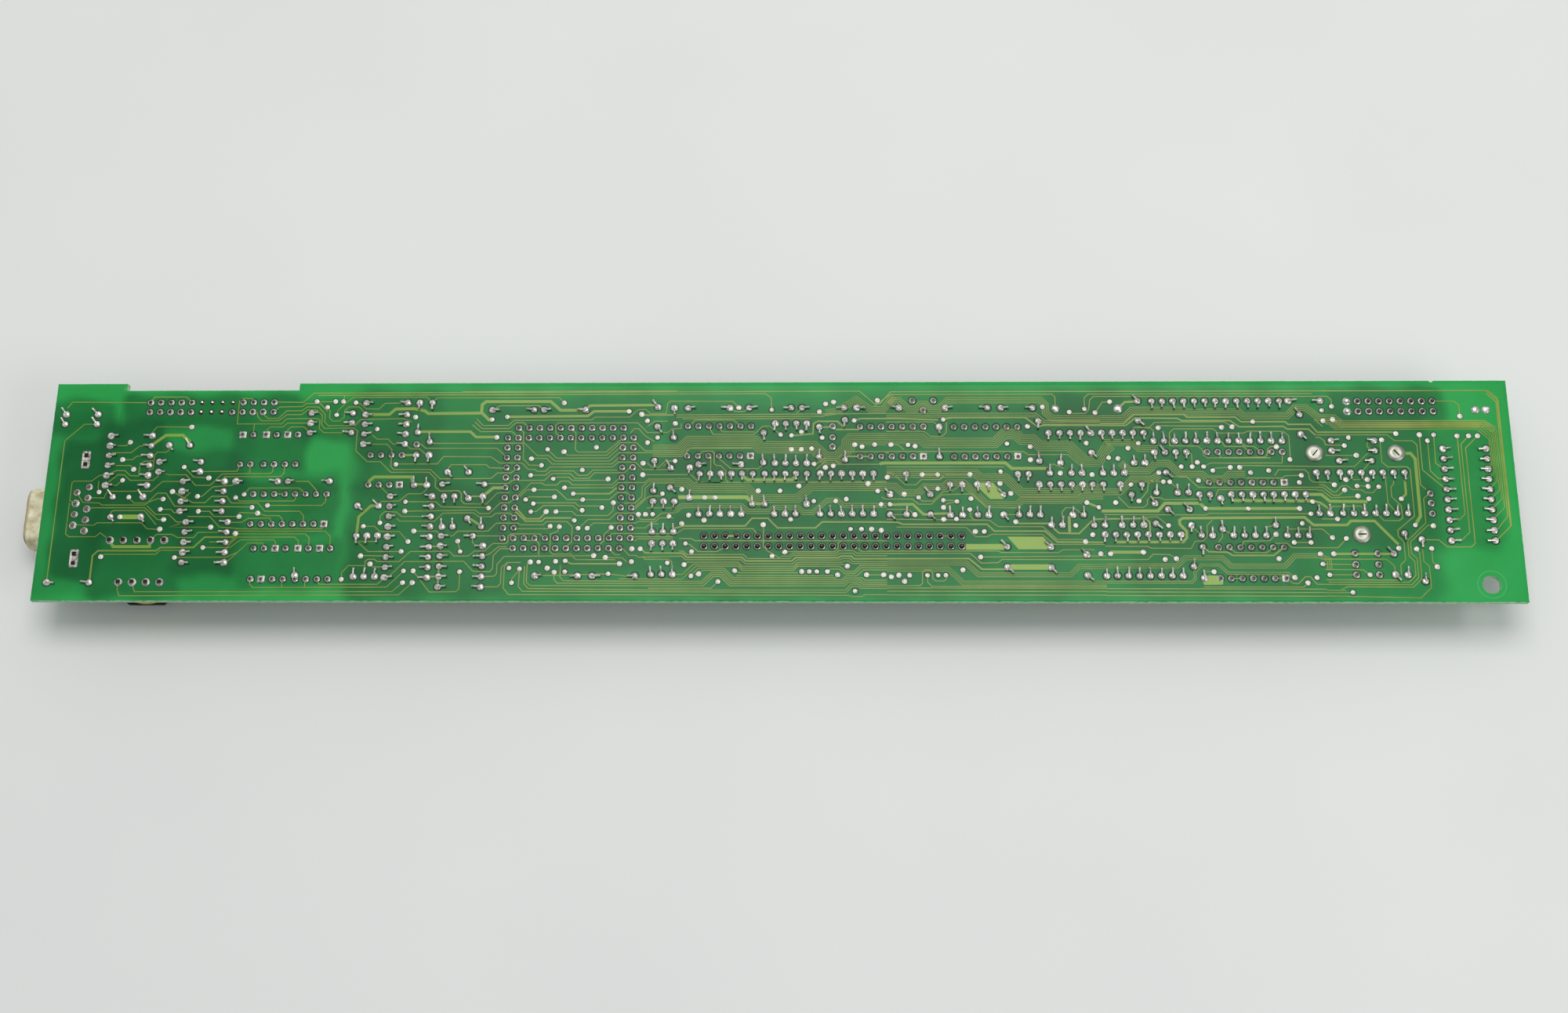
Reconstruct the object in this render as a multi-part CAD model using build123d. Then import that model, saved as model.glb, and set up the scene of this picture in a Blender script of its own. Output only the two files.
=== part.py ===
from build123d import *
import os
from math import cos, radians, sin, tan

# A long, narrow control board, lying on its components with its solder side up.
# Places on the board are given as u, from its left end, and v, from its front edge.
# The object's origin is the middle of its bounding box, on the surface that it stands on.

# ---------------------------------------------------------------- driving sizes, in mm
board_length = 351.8
board_width = 55.3
board_thickness = 1.6

notch_start = 17.4
notch_end = 59.9
notch_depth = 1.8
nick_place = 334.0
nick_width = 1.3
nick_depth = 0.45

mounting_hole_radius = 2.175
mounting_hole_inset_u = 8.2
mounting_hole_inset_v = 4.25

pitch = 2.54  # between neighbouring holes of a row
short_span = 7.62  # between the two rows of a chip, or the two holes of a short part
long_span = 10.16  # between the two holes of a resistor
radial_span = 5.08  # between the two holes of an upright part

# Nine-way D connector, lying on its side at the left end
connector_v = 22.92
connector_pitch = 2.77
connector_row_gap = 2.84
connector_drop = 6.3  # from the board's underside to the connector's axis
flange_length = 30.8
flange_height = 12.5
flange_sheet = 0.8
flange_corner = 1.4
flange_setback = 0.1  # from the board's left end to the flange's front face
lock_spacing = 24.99
lock_hole_radius = 1.5
shell_width = 16.33
shell_height = 7.9
shell_reach = 5.9
shell_wall = 0.4
shell_corner = 2.6
shell_slope = 10.0  # degrees that each flank of the D leans
insulator_length = 18.6
insulator_height = 10.6
insulator_depth = 6.4
insulator_corner = 1.0
nose_setback = 0.3  # from the skirt's edge back to the moulded nose
socket_hole_radius = 0.7
socket_hole_depth = 4.5
contact_size = 0.7
contact_bend = 0.5
contact_near_u = 8.05  # hole row of the contacts that lie nearest to the board
contact_hole_radius = 0.55
tail_length = 1.0  # that a contact stands out of the solder side
lock_u = 9.3
lock_sheet = 0.8
lock_width = 6.0
lock_foot_margin = 1.2  # from the prongs' line to the foot's end
lock_nut_radius = 2.4
lock_nut_depth = 3.0
lock_thread_radius = 1.42
prong_size = 0.9
prong_gap = 2.3
prong_reach = 0.5  # that a prong stands out of the solder side
prong_hole_radius = 0.75

# Box headers
header_width = 8.9
header_height = 8.9
header_wall = 1.2
header_floor = 2.4
header_end = 5.08  # from the last pin to the housing's end
header_key_width = 4.5
pin_size = 0.64
pin_recess = 0.8  # from the housing's mouth down to the pins' tips
header_small_u, header_small_v, header_small_columns = 23.55, 49.05, 13
header_large_u, header_large_v, header_large_columns = 159.9, 14.85, 25

# Socket strip and jumper at the right end
strip_u, strip_v, strip_columns = 313.66, 48.66, 9
strip_height = 8.5
strip_hole = 0.8
strip_hole_depth = 6.0
jumper_gap = 9.92  # from the socket strip's last hole to the jumper's first pin
jumper_u = strip_u + (strip_columns - 1) * pitch + jumper_gap
jumper_v = 47.7
jumper_base_height = 2.5
jumper_pin_height = 8.4

# Processor in its square socket
processor_u, processor_v = 127.11, 28.26
contacts_per_side = 21
contact_step = 1.27
socket_outer = 35.8
socket_height = 5.0
socket_base = 1.6
socket_chamfer = 3.0
contact_gap = 0.45  # between the socket's wall and the chip, which the contacts fill
chip_side = 29.3
chip_height = 3.0
chip_corner = 1.2
chip_dot_radius, chip_dot_depth, chip_dot_inset = 0.8, 0.4, 3.0
socket_contact_width = 0.6
socket_contact_rise = 2.6

# Two-row chips
chip_width = 6.35
chip_thickness = 3.3
chip_standoff = 0.5
chip_end = 1.9  # from the last leg's axis to the body's end
chip_notch_radius = 1.0
chip_notch_depth = 0.6
leg_sheet = 0.27
leg_width = 1.3
opto_width = 6.5
opto_thickness = 3.5
opto_chamfer = 0.8

# Axial parts: small round pieces that repeat have flat sides, and these radii reach to the flats
round_sides = 6
resistor_length, resistor_radius = 6.3, 1.05
diode_length, diode_radius = 3.8, 0.9
big_cap_span, big_cap_length, big_cap_radius = 15.1, 11.6, 3.1
big_cap_groove_place, big_cap_groove, big_cap_groove_depth = 2.2, 0.5, 0.35
wire = 0.6
big_cap_wire = 0.8

# Upright parts
dipped_width, dipped_thickness, dipped_height = 6.6, 2.4, 5.4
dipped_shoulder, dipped_round = 0.5, 1.6
dipped_standoff = 1.0
transistor_radius, transistor_flat, transistor_height = 2.35, 1.3, 4.6
transistor_sides = 14
transistor_standoff = 2.5
transistor_step, transistor_leg = 1.27, 0.5

# Transformer
transformer_u, transformer_v = 24.05, 9.8
transformer_pitch = 3.3
transformer_rows = 10.45
bobbin_length, bobbin_rail, bobbin_rail_width = 16.4, 3.5, 2.8
bobbin_rail_inset = 0.4  # from the pins' line to the rail's middle
bobbin_flange = 0.8
bobbin_cut = 3.9
bobbin_depth = 15.4
bobbin_wall = 0.9
coil_radius = 7.6
coil_height = 5.8
core_post_radius = 2.5
core_leg = 2.4
core_bridge = 1.8
core_clearance = 0.1
transformer_pin = 0.8
transformer_hole_radius = 0.6

# Backup cell on three upright tabs
cell_u, cell_v = 314.6, 28.82
cell_radius = 12.25
cell_height = 7.7
cell_cap_radius = 10.4
cell_cap_height = 0.9
cell_round = 0.9
strap_sheet = 0.3
strap_width = 5.0
tab_width = 1.9
tab_circle = 12.42
tab_angles = (39.5, 140.5)
negative_tab_angle = 270.0
tab_hole_length = 2.4
tab_hole_width = 0.7
tab_reach = 0.8
lug_solder_sides = 16
lug_solder_radius = 2.2
lug_solder_height = 0.7
lug_solder_taper = 50.0  # degrees that its flank leans

# ---------------------------------------------------------------- sizes worked out from those
stand_height = connector_drop + flange_height / 2
origin_u = (board_length + flange_setback - shell_reach) / 2
origin_v = board_width / 2
contact_far_u = contact_near_u + connector_row_gap
core_length = bobbin_length + 2 * (core_leg + core_clearance)
flange_back_u = flange_setback + flange_sheet


def point(u, v, below=0.0):
    """Point u from the board's left end, v from its front edge, below its underside."""
    return Vector(u - origin_u, v - origin_v, stand_height - below)


def block(u, v, below, size_u, size_v, size_z):
    """Box centred on u and v, whose upper face is the given distance below the underside."""
    middle = point(u, v, below + size_z / 2)
    return Pos(middle) * Box(size_u, size_v, size_z)


def upright(u, v, below, radius, height):
    """Cylinder with a vertical axis, its upper face the given distance below the underside."""
    return Pos(point(u, v, below + height / 2)) * Cylinder(radius, height)


def row(start, count, step=pitch):
    """Evenly spaced places."""
    return [start + step * i for i in range(round(count))]


def lying(u, v, radius, length, turn):
    """Flat-sided bar that lies with one flat against the underside, centred on u and v."""
    face = RegularPolygon(radius, round_sides, major_radius=False)
    bar = Pos(-length / 2, 0, 0) * (Plane.YZ * face)
    return Pos(point(u, v, radius)) * Rot(0, 0, turn) * extrude(bar, length)


def small_hole(u, v, radius):
    """Flat-sided plug that drills a small hole through the board."""
    face = RegularPolygon(radius, round_sides, major_radius=False)
    return Pos(point(u, v)) * extrude(face, board_thickness)


def write(name, solids):
    """Write one node, which is one solid or a group of like solids."""
    shape = Compound(solids) if isinstance(solids, list) else solids
    export_step(shape, f"parts/{name}.step")


# ---------------------------------------------------------------- where the small parts stand
# Each entry is the first part's hole and the number of parts beside it, one pitch apart.
resistors_lengthwise = [
    (14.7, 28.95, 6), (27.3, 32.4, 2), (33.55, 22.3, 4), (35.3, 9.45, 5), (3.4, 4.5, 1),
    (46.5, 29.9, 1), (59.1, 29.9, 1), (63.4, 42.4, 3), (76.7, 39.45, 4), (76.7, 50.1, 1),
    (84.2, 5.75, 9), (96.6, 29.15, 1), (97.1, 3.45, 5), (107.7, 48.2, 1), (120.3, 48.2, 1),
    (120.0, 6.2, 1), (133.6, 6.2, 1), (155.3, 48.6, 1), (170.1, 48.6, 1), (182.9, 48.6, 1),
    (196.1, 48.6, 1), (217.4, 48.5, 1), (158.2, 34.1, 1), (309.1, 37.4, 2), (335.3, 14.95, 10),
]
resistors_crosswise = [
    (76.8, 6.0, 3), (176.5, 34.4, 4), (158.5, 21.6, 5), (176.5, 21.6, 3), (187.4, 21.6, 6),
    (193.3, 35.3, 1), (207.9, 21.5, 1), (234.5, 21.4, 2), (239.7, 34.9, 1), (242.1, 31.85, 1),
    (247.2, 31.85, 2), (254.7, 31.85, 3), (242.1, 18.8, 2), (252.1, 18.8, 2), (258.7, 18.8, 1),
    (263.8, 18.8, 1), (254.6, 6.3, 8), (267.1, 26.9, 1), (272.15, 26.9, 2), (267.0, 39.95, 13),
    (277.2, 16.25, 2), (284.7, 16.25, 4), (297.2, 16.25, 3), (274.95, 8.55, 1), (305.1, 21.7, 2),
    (310.6, 21.7, 4), (320.7, 21.7, 3), (324.5, 6.55, 1), (328.4, 5.05, 1), (92.9, 40.0, 1),
]
diodes_lengthwise = [(97.1, 16.1, 1), (230.8, 48.5, 1), (299.6, 50.1, 1), (310.7, 34.85, 1)]
diodes_crosswise = [
    (89.8, 28.95, 1), (92.9, 28.95, 1), (97.2, 18.45, 2), (106.6, 18.45, 1), (147.5, 27.45, 1),
    (147.5, 17.15, 3), (147.5, 6.6, 3), (156.1, 25.7, 1), (171.2, 24.1, 1), (174.1, 24.1, 1),
    (184.2, 24.1, 1), (173.7, 34.6, 1), (187.1, 36.05, 1), (215.9, 36.0, 1), (218.3, 21.35, 1),
    (221.2, 21.35, 1), (224.8, 21.35, 2), (239.5, 21.35, 1), (247.2, 21.35, 2), (244.7, 34.4, 1),
    (262.2, 34.4, 2), (261.25, 18.8, 1), (282.2, 17.8, 1), (294.7, 18.75, 1), (277.3, 5.75, 1),
    (89.8, 42.45, 1), (152.0, 41.0, 1),
]
dipped_lengthwise = [(29.25, 39.2), (76.5, 23.7), (97.7, 32.2), (269.65, 22.7)]
dipped_crosswise = [
    (16.9, 20.9), (24.25, 20.9), (103.15, 20.5), (151.5, 28.2), (204.0, 21.45), (213.6, 21.45),
    (230.9, 21.35), (231.5, 8.35), (241.75, 8.3), (250.15, 6.4), (252.2, 36.9), (263.6, 45.1),
    (269.65, 31.95), (266.65, 19.15), (302.1, 41.55), (321.6, 6.65), (148.0, 43.8),
]
transistors = [(190.3, 41.15), (331.4, 24.15), (312.6, 9.15), (317.9, 9.15)]
regulator_place = (212.05, 50.4)
big_cap_place = (243.9, 48.2)
chips_14 = [(155.4, 36.25), (196.85, 36.1), (219.35, 36.0), (281.0, 5.7)]
chips_16 = [(51.0, 19.1), (279.6, 29.4)]
chips_8 = [(78.7, 29.0)]
optos = [
    (47.0, 34.3), (52.7, 34.3), (58.0, 34.3), (52.25, 5.35), (57.5, 5.35), (62.9, 5.35), (68.2, 5.35),
]
opto_turned = (2.98, 44.7)


# ---------------------------------------------------------------- board
def connector_holes():
    """Places of the nine contacts' holes: five far from the flange, then four near it."""
    far = [(contact_far_u, connector_v + connector_pitch * (i - 2)) for i in range(5)]
    near = [(contact_near_u, connector_v + connector_pitch * (i - 1.5)) for i in range(4)]
    return far + near


def prong_places():
    """Places of the four prongs of the connector's two board locks."""
    sides = (connector_v - lock_spacing / 2, connector_v + lock_spacing / 2)
    return [(lock_u, side + shift) for side in sides for shift in (-prong_gap / 2, prong_gap / 2)]


def transformer_places():
    """Places of the transformer's five rear and four front pins."""
    half, step = transformer_rows / 2, transformer_pitch
    rear = [(u, transformer_v + half) for u in row(transformer_u - 2 * step, 5, step)]
    front = [(u, transformer_v - half) for u in row(transformer_u - step, 4, step)]
    return rear + front


def tab_place(angle):
    """Place of a cell tab at an angle round the cell."""
    return cell_u + tab_circle * cos(radians(angle)), cell_v + tab_circle * sin(radians(angle))


def circuit_board():
    """Laminate with its notched rear edge, mounting hole and the holes of the parts that pass it."""
    rear = board_width
    floor = board_width - notch_depth
    nick = (nick_place + nick_width / 2, nick_place, nick_place - nick_width / 2)
    outline = Polyline(
        (0, 0), (board_length, 0), (board_length, rear),
        (nick[0], rear), (nick[1], rear - nick_depth), (nick[2], rear),
        (notch_end, rear), (notch_end, floor), (notch_start, floor), (notch_start, rear), (0, rear),
        close=True,
    )
    plate = extrude(make_face(outline), board_thickness)
    plate = Pos(point(0, 0)) * plate
    cuts = [upright(board_length - mounting_hole_inset_u, mounting_hole_inset_v, -board_thickness,
                    mounting_hole_radius, board_thickness)]
    cuts += [small_hole(u, v, contact_hole_radius) for u, v in connector_holes()]
    cuts += [small_hole(u, v, prong_hole_radius) for u, v in prong_places()]
    cuts += [small_hole(u, v, transformer_hole_radius) for u, v in transformer_places()]
    for angle in (*tab_angles, negative_tab_angle):
        slot = Rot(0, 0, angle) * Box(tab_hole_width, tab_hole_length, board_thickness)
        cuts.append(Pos(point(*tab_place(angle), -board_thickness / 2)) * slot)
    return plate - cuts


# ---------------------------------------------------------------- nine-way connector
def d_outline(width, height, corner):
    """D shape: wide side down, narrow side towards the board, all corners round."""
    half = width / 2
    narrow = half - height * tan(radians(shell_slope))
    shape = make_face(Polyline((-half, -height / 2), (half, -height / 2), (narrow, height / 2),
                               (-narrow, height / 2), close=True))
    return fillet(shape.vertices(), corner)


def connector_plane(u):
    """Plane across the connector's axis, facing left, for sketches that are as wide each way."""
    return Plane(origin=point(u, connector_v, connector_drop), x_dir=(0, -1, 0), z_dir=(-1, 0, 0))


def connector_shell():
    """Drawn steel shell: flat flange with two holes, and the D-shaped skirt that enters the plug."""
    back = connector_plane(flange_back_u)
    plate = fillet(Rectangle(flange_length, flange_height).vertices(), flange_corner)
    plate -= GridLocations(lock_spacing, 0, 2, 1) * Circle(lock_hole_radius)
    skirt = d_outline(shell_width, shell_height, shell_corner)
    bore_width, bore_height = shell_width - 2 * shell_wall, shell_height - 2 * shell_wall
    bore = d_outline(bore_width, bore_height, shell_corner - shell_wall)
    flange = extrude(back * plate, flange_sheet)
    tube = extrude(back * skirt, flange_sheet + shell_reach)
    inside = extrude(back * bore, flange_sheet + shell_reach)
    return flange + tube - inside


def connector_insulator():
    """Moulded block behind the flange with the D-shaped nose and its nine entries."""
    back = connector_plane(flange_back_u)
    bore_width, bore_height = shell_width - 2 * shell_wall, shell_height - 2 * shell_wall
    nose = extrude(back * d_outline(bore_width, bore_height, shell_corner - shell_wall),
                   flange_sheet + shell_reach - nose_setback)
    block_face = fillet(Rectangle(insulator_length, insulator_height).vertices(), insulator_corner)
    body = extrude(back * block_face, -insulator_depth)
    entry = extrude(Plane.YZ * RegularPolygon(socket_hole_radius, round_sides, major_radius=False),
                    socket_hole_depth)
    entries = []
    for u, v in connector_holes():
        drop = connector_row_gap / 2 if u > contact_near_u else -connector_row_gap / 2
        entries.append(Pos(point(flange_setback - shell_reach, v, connector_drop + drop)) * entry)
    return nose + body - entries


def connector_contacts():
    """Nine bent contacts: out of the block's back, then up through the board."""
    wires = []
    for u, v in connector_holes():
        drop = connector_drop + (connector_row_gap / 2 if u > contact_near_u else -connector_row_gap / 2)
        start = flange_back_u + insulator_depth
        half = contact_size / 2
        top = -board_thickness - tail_length
        side = Polyline(
            (start, -drop - half), (u + half - contact_bend, -drop - half),
            (u + half, -drop + contact_bend - half),
            (u + half, -top), (u - half, -top), (u - half, -drop + half), (start, -drop + half),
            close=True,
        )
        profile = Plane(origin=point(0, v + half), x_dir=(1, 0, 0), z_dir=(0, -1, 0)) * make_face(side)
        wires.append(extrude(profile, contact_size))
    return wires


def connector_locks():
    """Two bent brackets that hold the flange to the board, each with a threaded hole and two prongs."""
    brackets = []
    for side in (-1, 1):
        v = connector_v + side * lock_spacing / 2
        plate = block(flange_back_u + lock_sheet / 2, v, 0, lock_sheet, lock_width, flange_height)
        foot_length = lock_u + lock_foot_margin - flange_back_u
        foot = block(flange_back_u + foot_length / 2, v, 0, foot_length, lock_width, lock_sheet)
        seat = Pos(point(flange_back_u, v, connector_drop))
        hexagon = RegularPolygon(lock_nut_radius, 6, major_radius=False)
        nut = seat * extrude(Plane.YZ * hexagon, lock_nut_depth)
        thread = seat * extrude(Plane.YZ * Circle(lock_thread_radius), lock_nut_depth)
        bracket = plate + foot + nut - thread
        tall = board_thickness + prong_reach
        for shift in (-prong_gap / 2, prong_gap / 2):
            bracket += block(lock_u, v + shift, -tall, prong_size, prong_size, tall)
        brackets.append(bracket)
    return brackets


# ---------------------------------------------------------------- headers
def box_header(first_u, v, columns):
    """Open-topped housing with a keying slot in its front wall, mouth down."""
    length = (columns - 1) * pitch + 2 * header_end
    u = first_u + (columns - 1) * pitch / 2
    deep = header_height - header_floor
    shell = block(u, v, 0, length, header_width, header_height)
    cavity = block(u, v, header_floor, length - 2 * header_wall, header_width - 2 * header_wall, deep)
    key = block(u, v - (header_width - header_wall) / 2, header_floor, header_key_width, header_wall, deep)
    return shell - cavity - key


def header_pins(first_u, v, columns):
    """Two rows of square pins standing on the housing's floor."""
    tall = header_height - header_floor - pin_recess
    return [block(u, v + side * pitch / 2, header_floor, pin_size, pin_size, tall)
            for u in row(first_u, columns) for side in (-1, 1)]


def socket_strip():
    """Two-row socket strip with a square entry over each contact."""
    length = strip_columns * pitch
    u = strip_u + (strip_columns - 1) * pitch / 2
    body = block(u, strip_v, 0, length, 2 * pitch, strip_height)
    entries = [block(at, strip_v + side * pitch / 2, strip_height - strip_hole_depth,
                     strip_hole, strip_hole, strip_hole_depth)
               for at in row(strip_u, strip_columns) for side in (-1, 1)]
    return body - entries


def jumper():
    """Two-pin jumper: its base and its pins."""
    base = block(jumper_u + pitch / 2, jumper_v, 0, 2 * pitch, pitch, jumper_base_height)
    tall = jumper_pin_height - jumper_base_height
    pins = [block(u, jumper_v, jumper_base_height, pin_size, pin_size, tall) for u in row(jumper_u, 2)]
    return base, pins


# ---------------------------------------------------------------- processor
def processor_socket():
    """Square open-framed socket with one cut corner."""
    ring = chamfer(Rectangle(socket_outer, socket_outer).vertices().sort_by(Axis.X)[-1:], socket_chamfer)
    inner = chip_side + 2 * contact_gap
    body = extrude(ring, -socket_height)
    well = Pos(0, 0, -socket_base) * extrude(Rectangle(inner, inner), socket_base - socket_height)
    return Pos(point(processor_u, processor_v)) * (body - well)


def contact_places(reach):
    """Middles of the contacts round a square at a distance from its centre, with the side's turn."""
    for quarter in range(4):
        for i in range(contacts_per_side):
            along = (i - (contacts_per_side - 1) / 2) * contact_step
            angle = radians(90 * quarter)
            yield (reach * cos(angle) - along * sin(angle), reach * sin(angle) + along * cos(angle), quarter)


def socket_contacts():
    """Springs that stand between the socket's wall and the chip."""
    springs = []
    for u, v, quarter in contact_places(chip_side / 2 + contact_gap / 2):
        spring = Rot(0, 0, 90 * quarter) * Box(contact_gap, socket_contact_width, socket_contact_rise)
        middle = point(processor_u + u, processor_v + v, socket_base + socket_contact_rise / 2)
        springs.append(Pos(middle) * spring)
    return springs


def processor_chip():
    """Square moulded package, one corner cut, with a shallow dot over its first contact."""
    face = Rectangle(chip_side, chip_side)
    face = chamfer(face.vertices().sort_by(Axis.X)[-1:], chip_corner)
    body = extrude(face, -chip_height)
    dot = Pos(0, chip_side / 2 - chip_dot_inset, -chip_height) * Cylinder(chip_dot_radius, 2 * chip_dot_depth)
    return Pos(point(processor_u, processor_v, socket_base)) * (body - dot)


# ---------------------------------------------------------------- two-row chips
def row_chip(first_u, v, columns):
    """Moulded body of a two-row chip, its pin-one notch at the right end."""
    length = (columns - 1) * pitch + 2 * chip_end
    u = first_u + (columns - 1) * pitch / 2
    body = block(u, v + short_span / 2, chip_standoff, length, chip_width, chip_thickness)
    mark = extrude(RegularPolygon(chip_notch_radius, round_sides), -chip_notch_depth)
    notch_top = chip_standoff + chip_thickness - chip_notch_depth
    return body - Pos(point(u + length / 2, v + short_span / 2, notch_top)) * mark


def chip_legs(first_u, v, columns, width, thickness):
    """Bent legs down both sides of a two-row chip, from its middle to the board."""
    drop = chip_standoff + thickness / 2
    half = short_span / 2
    legs = []
    for side in (-1, 1):
        bend = Polyline((half, 0), (half, -drop - leg_sheet), (width / 2, -drop - leg_sheet),
                        (width / 2, -drop), (half - leg_sheet, -drop), (half - leg_sheet, 0), close=True)
        for u in row(first_u, columns):
            start = point(u - side * leg_width / 2, v + half)
            sheet = Plane(origin=start, x_dir=(0, side, 0), z_dir=(side, 0, 0)) * make_face(bend)
            legs.append(extrude(sheet, leg_width))
    return legs


def turned_about(u, v, solids):
    """Solids turned a quarter turn about a place on the board."""
    spin = Pos(point(u, v)) * Rot(0, 0, 90) * Pos(-point(u, v))
    return [spin * solid for solid in solids]


def opto_body(first_u, v):
    """Four-legged optocoupler with a bevelled edge along its first side."""
    u = first_u + pitch / 2
    body = block(u, v + short_span / 2, chip_standoff, 2 * chip_end, opto_width, opto_thickness)
    edges = body.edges().filter_by(Axis.X).group_by(Axis.Z)[0].sort_by(Axis.Y)[:1]
    return chamfer(edges, opto_chamfer)


def all_optos():
    """Bodies and legs of the eight optocouplers, one of them turned a quarter turn."""
    bodies = [opto_body(u, v) for u, v in optos]
    legs = [leg for u, v in optos for leg in chip_legs(u, v, 2, opto_width, opto_thickness)]
    u, v = opto_turned
    middle_u, middle_v = u + short_span / 2, v + pitch / 2
    start_u, start_v = middle_u - pitch / 2, middle_v - short_span / 2
    bodies += turned_about(middle_u, middle_v, [opto_body(start_u, start_v)])
    legs += turned_about(middle_u, middle_v, chip_legs(start_u, start_v, 2, opto_width, opto_thickness))
    return bodies, legs


# ---------------------------------------------------------------- axial and upright parts
def bodies_along(places, span, length, radius):
    """Bodies of axial parts that lie along the board, in columns of a given count."""
    return [lying(u + span / 2, at, radius, length, 0) for u, v, count in places for at in row(v, count)]


def bodies_across(places, span, length, radius):
    """Bodies of axial parts that lie across the board, in rows of a given count."""
    return [lying(at, v + span / 2, radius, length, 90) for u, v, count in places for at in row(u, count)]


def big_capacitor():
    """Axial electrolytic capacitor with its rolled groove, on bent leads through the underside."""
    u, v = big_cap_place
    middle = u + big_cap_span / 2
    inset = big_cap_length / 2 - big_cap_groove_place
    profile = Polyline(
        (-big_cap_length / 2, 0), (-big_cap_length / 2, big_cap_radius),
        (-inset - big_cap_groove, big_cap_radius), (-inset, big_cap_radius - big_cap_groove_depth),
        (-inset + big_cap_groove, big_cap_radius), (big_cap_length / 2, big_cap_radius),
        (big_cap_length / 2, 0), close=True,
    )
    can = Pos(point(middle, v, big_cap_radius)) * revolve(Plane.XZ * make_face(profile), Axis.X)
    leads = []
    for side in (-1, 1):
        end = middle + side * big_cap_length / 2
        hole = middle + side * big_cap_span / 2
        reach = abs(hole - end) + big_cap_wire / 2
        shoulder = block((end + hole + side * big_cap_wire / 2) / 2, v, big_cap_radius - big_cap_wire / 2,
                         reach, big_cap_wire, big_cap_wire)
        drop = block(hole, v, 0, big_cap_wire, big_cap_wire, big_cap_radius)
        leads.append(shoulder + drop)
    return can, leads


def dipped_capacitor(u, v, turn):
    """Upright dipped capacitor, its outline drawn from one lead to the other, and its two leads."""
    half, low = dipped_width / 2, -dipped_standoff - dipped_height
    top = -dipped_standoff
    outline = Polyline(
        (-half + dipped_shoulder, top), (half - dipped_shoulder, top), (half, top - dipped_shoulder),
        (half, low + dipped_round), (half - dipped_round, low), (dipped_round - half, low),
        (-half, low + dipped_round), (-half, top - dipped_shoulder), close=True,
    )
    spot = Pos(point(u, v)) * Rot(0, 0, turn) * Pos(radial_span / 2, 0, 0)
    body = spot * extrude(Plane.XZ * make_face(outline), dipped_thickness / 2, both=True)
    leads = [spot * Pos(side * radial_span / 2, 0, top / 2) * Box(wire, wire, dipped_standoff)
             for side in (-1, 1)]
    return body, leads


def transistor(u, v, turn):
    """Half-round transistor with a flat face, and its three legs down a row."""
    outline = RegularPolygon(transistor_radius, transistor_sides) - Pos(
        transistor_radius + transistor_flat, 0) * Rectangle(2 * transistor_radius, 2 * transistor_radius)
    spot = Pos(point(u, v)) * Rot(0, 0, turn)
    body = spot * Pos(0, 0, -transistor_standoff) * extrude(outline, -transistor_height)
    legs = []
    for shift in (-1, 0, 1):
        leg = Box(transistor_leg, transistor_leg, transistor_standoff)
        legs.append(spot * Pos(0, shift * transistor_step, -transistor_standoff / 2) * leg)
    return body, legs


# ---------------------------------------------------------------- transformer
def transformer():
    """Two E-shaped core halves round a taped coil on a bobbin with two pin rails."""
    u, v = transformer_u, transformer_v
    rail_v = transformer_rows / 2 - bobbin_rail_inset
    rails = [block(u, v + side * rail_v, 0, bobbin_length, bobbin_rail_width, bobbin_rail)
             for side in (-1, 1)]
    top = bobbin_rail - bobbin_flange
    window = coil_height + 2 * bobbin_flange
    tube_radius = core_post_radius + core_clearance + bobbin_wall
    near = block(u, v, top, bobbin_length, 2 * rail_v + bobbin_rail_width, bobbin_flange)
    face = chamfer(Rectangle(bobbin_length, bobbin_depth).vertices(), bobbin_cut)
    far = Pos(point(u, v, bobbin_rail + coil_height)) * extrude(face, -bobbin_flange)
    tube = upright(u, v, bobbin_rail, tube_radius, coil_height)
    bore = upright(u, v, top, core_post_radius + core_clearance, window)
    bobbin = near + far + tube + rails - bore
    coil = upright(u, v, bobbin_rail, coil_radius, coil_height) - upright(
        u, v, bobbin_rail, tube_radius, coil_height)
    halves = []
    for start, bridge_at in ((top - core_bridge, top - core_bridge), (top + window / 2, top + window)):
        tall = core_bridge + window / 2
        half = block(u, v, bridge_at, core_length, 2 * core_post_radius, core_bridge)
        half += upright(u, v, start, core_post_radius, tall)
        for side in (-1, 1):
            leg_u = u + side * (core_length - core_leg) / 2
            half += block(leg_u, v, start, core_leg, 2 * core_post_radius, tall)
        halves.append(half)
    pins = [block(pu, pv, -board_thickness - tail_length, transformer_pin, transformer_pin,
                  board_thickness + tail_length) for pu, pv in transformer_places()]
    return bobbin, coil, halves, pins


# ---------------------------------------------------------------- backup cell
def backup_cell():
    """Coin cell: rounded can below, stepped cap above."""
    low = stand_height - strap_sheet
    rise = cell_height - cell_cap_height
    can = Pos(point(cell_u, cell_v, low - rise / 2)) * Cylinder(cell_radius, rise)
    can = chamfer(can.edges().filter_by(GeomType.CIRCLE).sort_by(Axis.Z)[0], cell_round)
    return can + upright(cell_u, cell_v, low - cell_height, cell_cap_radius, cell_cap_height)


def tab_blade(angle, low, high):
    """Upright blade beside the cell's rim, from one depth to another below the underside."""
    tall = low - high
    blade = Box(strap_sheet, tab_width, tall)
    return Pos(point(*tab_place(angle), high + tall / 2)) * Rot(0, 0, angle) * blade


def strap_arm(angle, below):
    """Flat arm from the cell's middle out to a blade, its upper face at a depth below the underside."""
    reach = tab_circle + strap_sheet / 2
    arm = Pos(reach / 2, 0, -strap_sheet / 2) * Box(reach, strap_width, strap_sheet)
    return Pos(point(cell_u, cell_v, below)) * Rot(0, 0, angle) * arm


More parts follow.
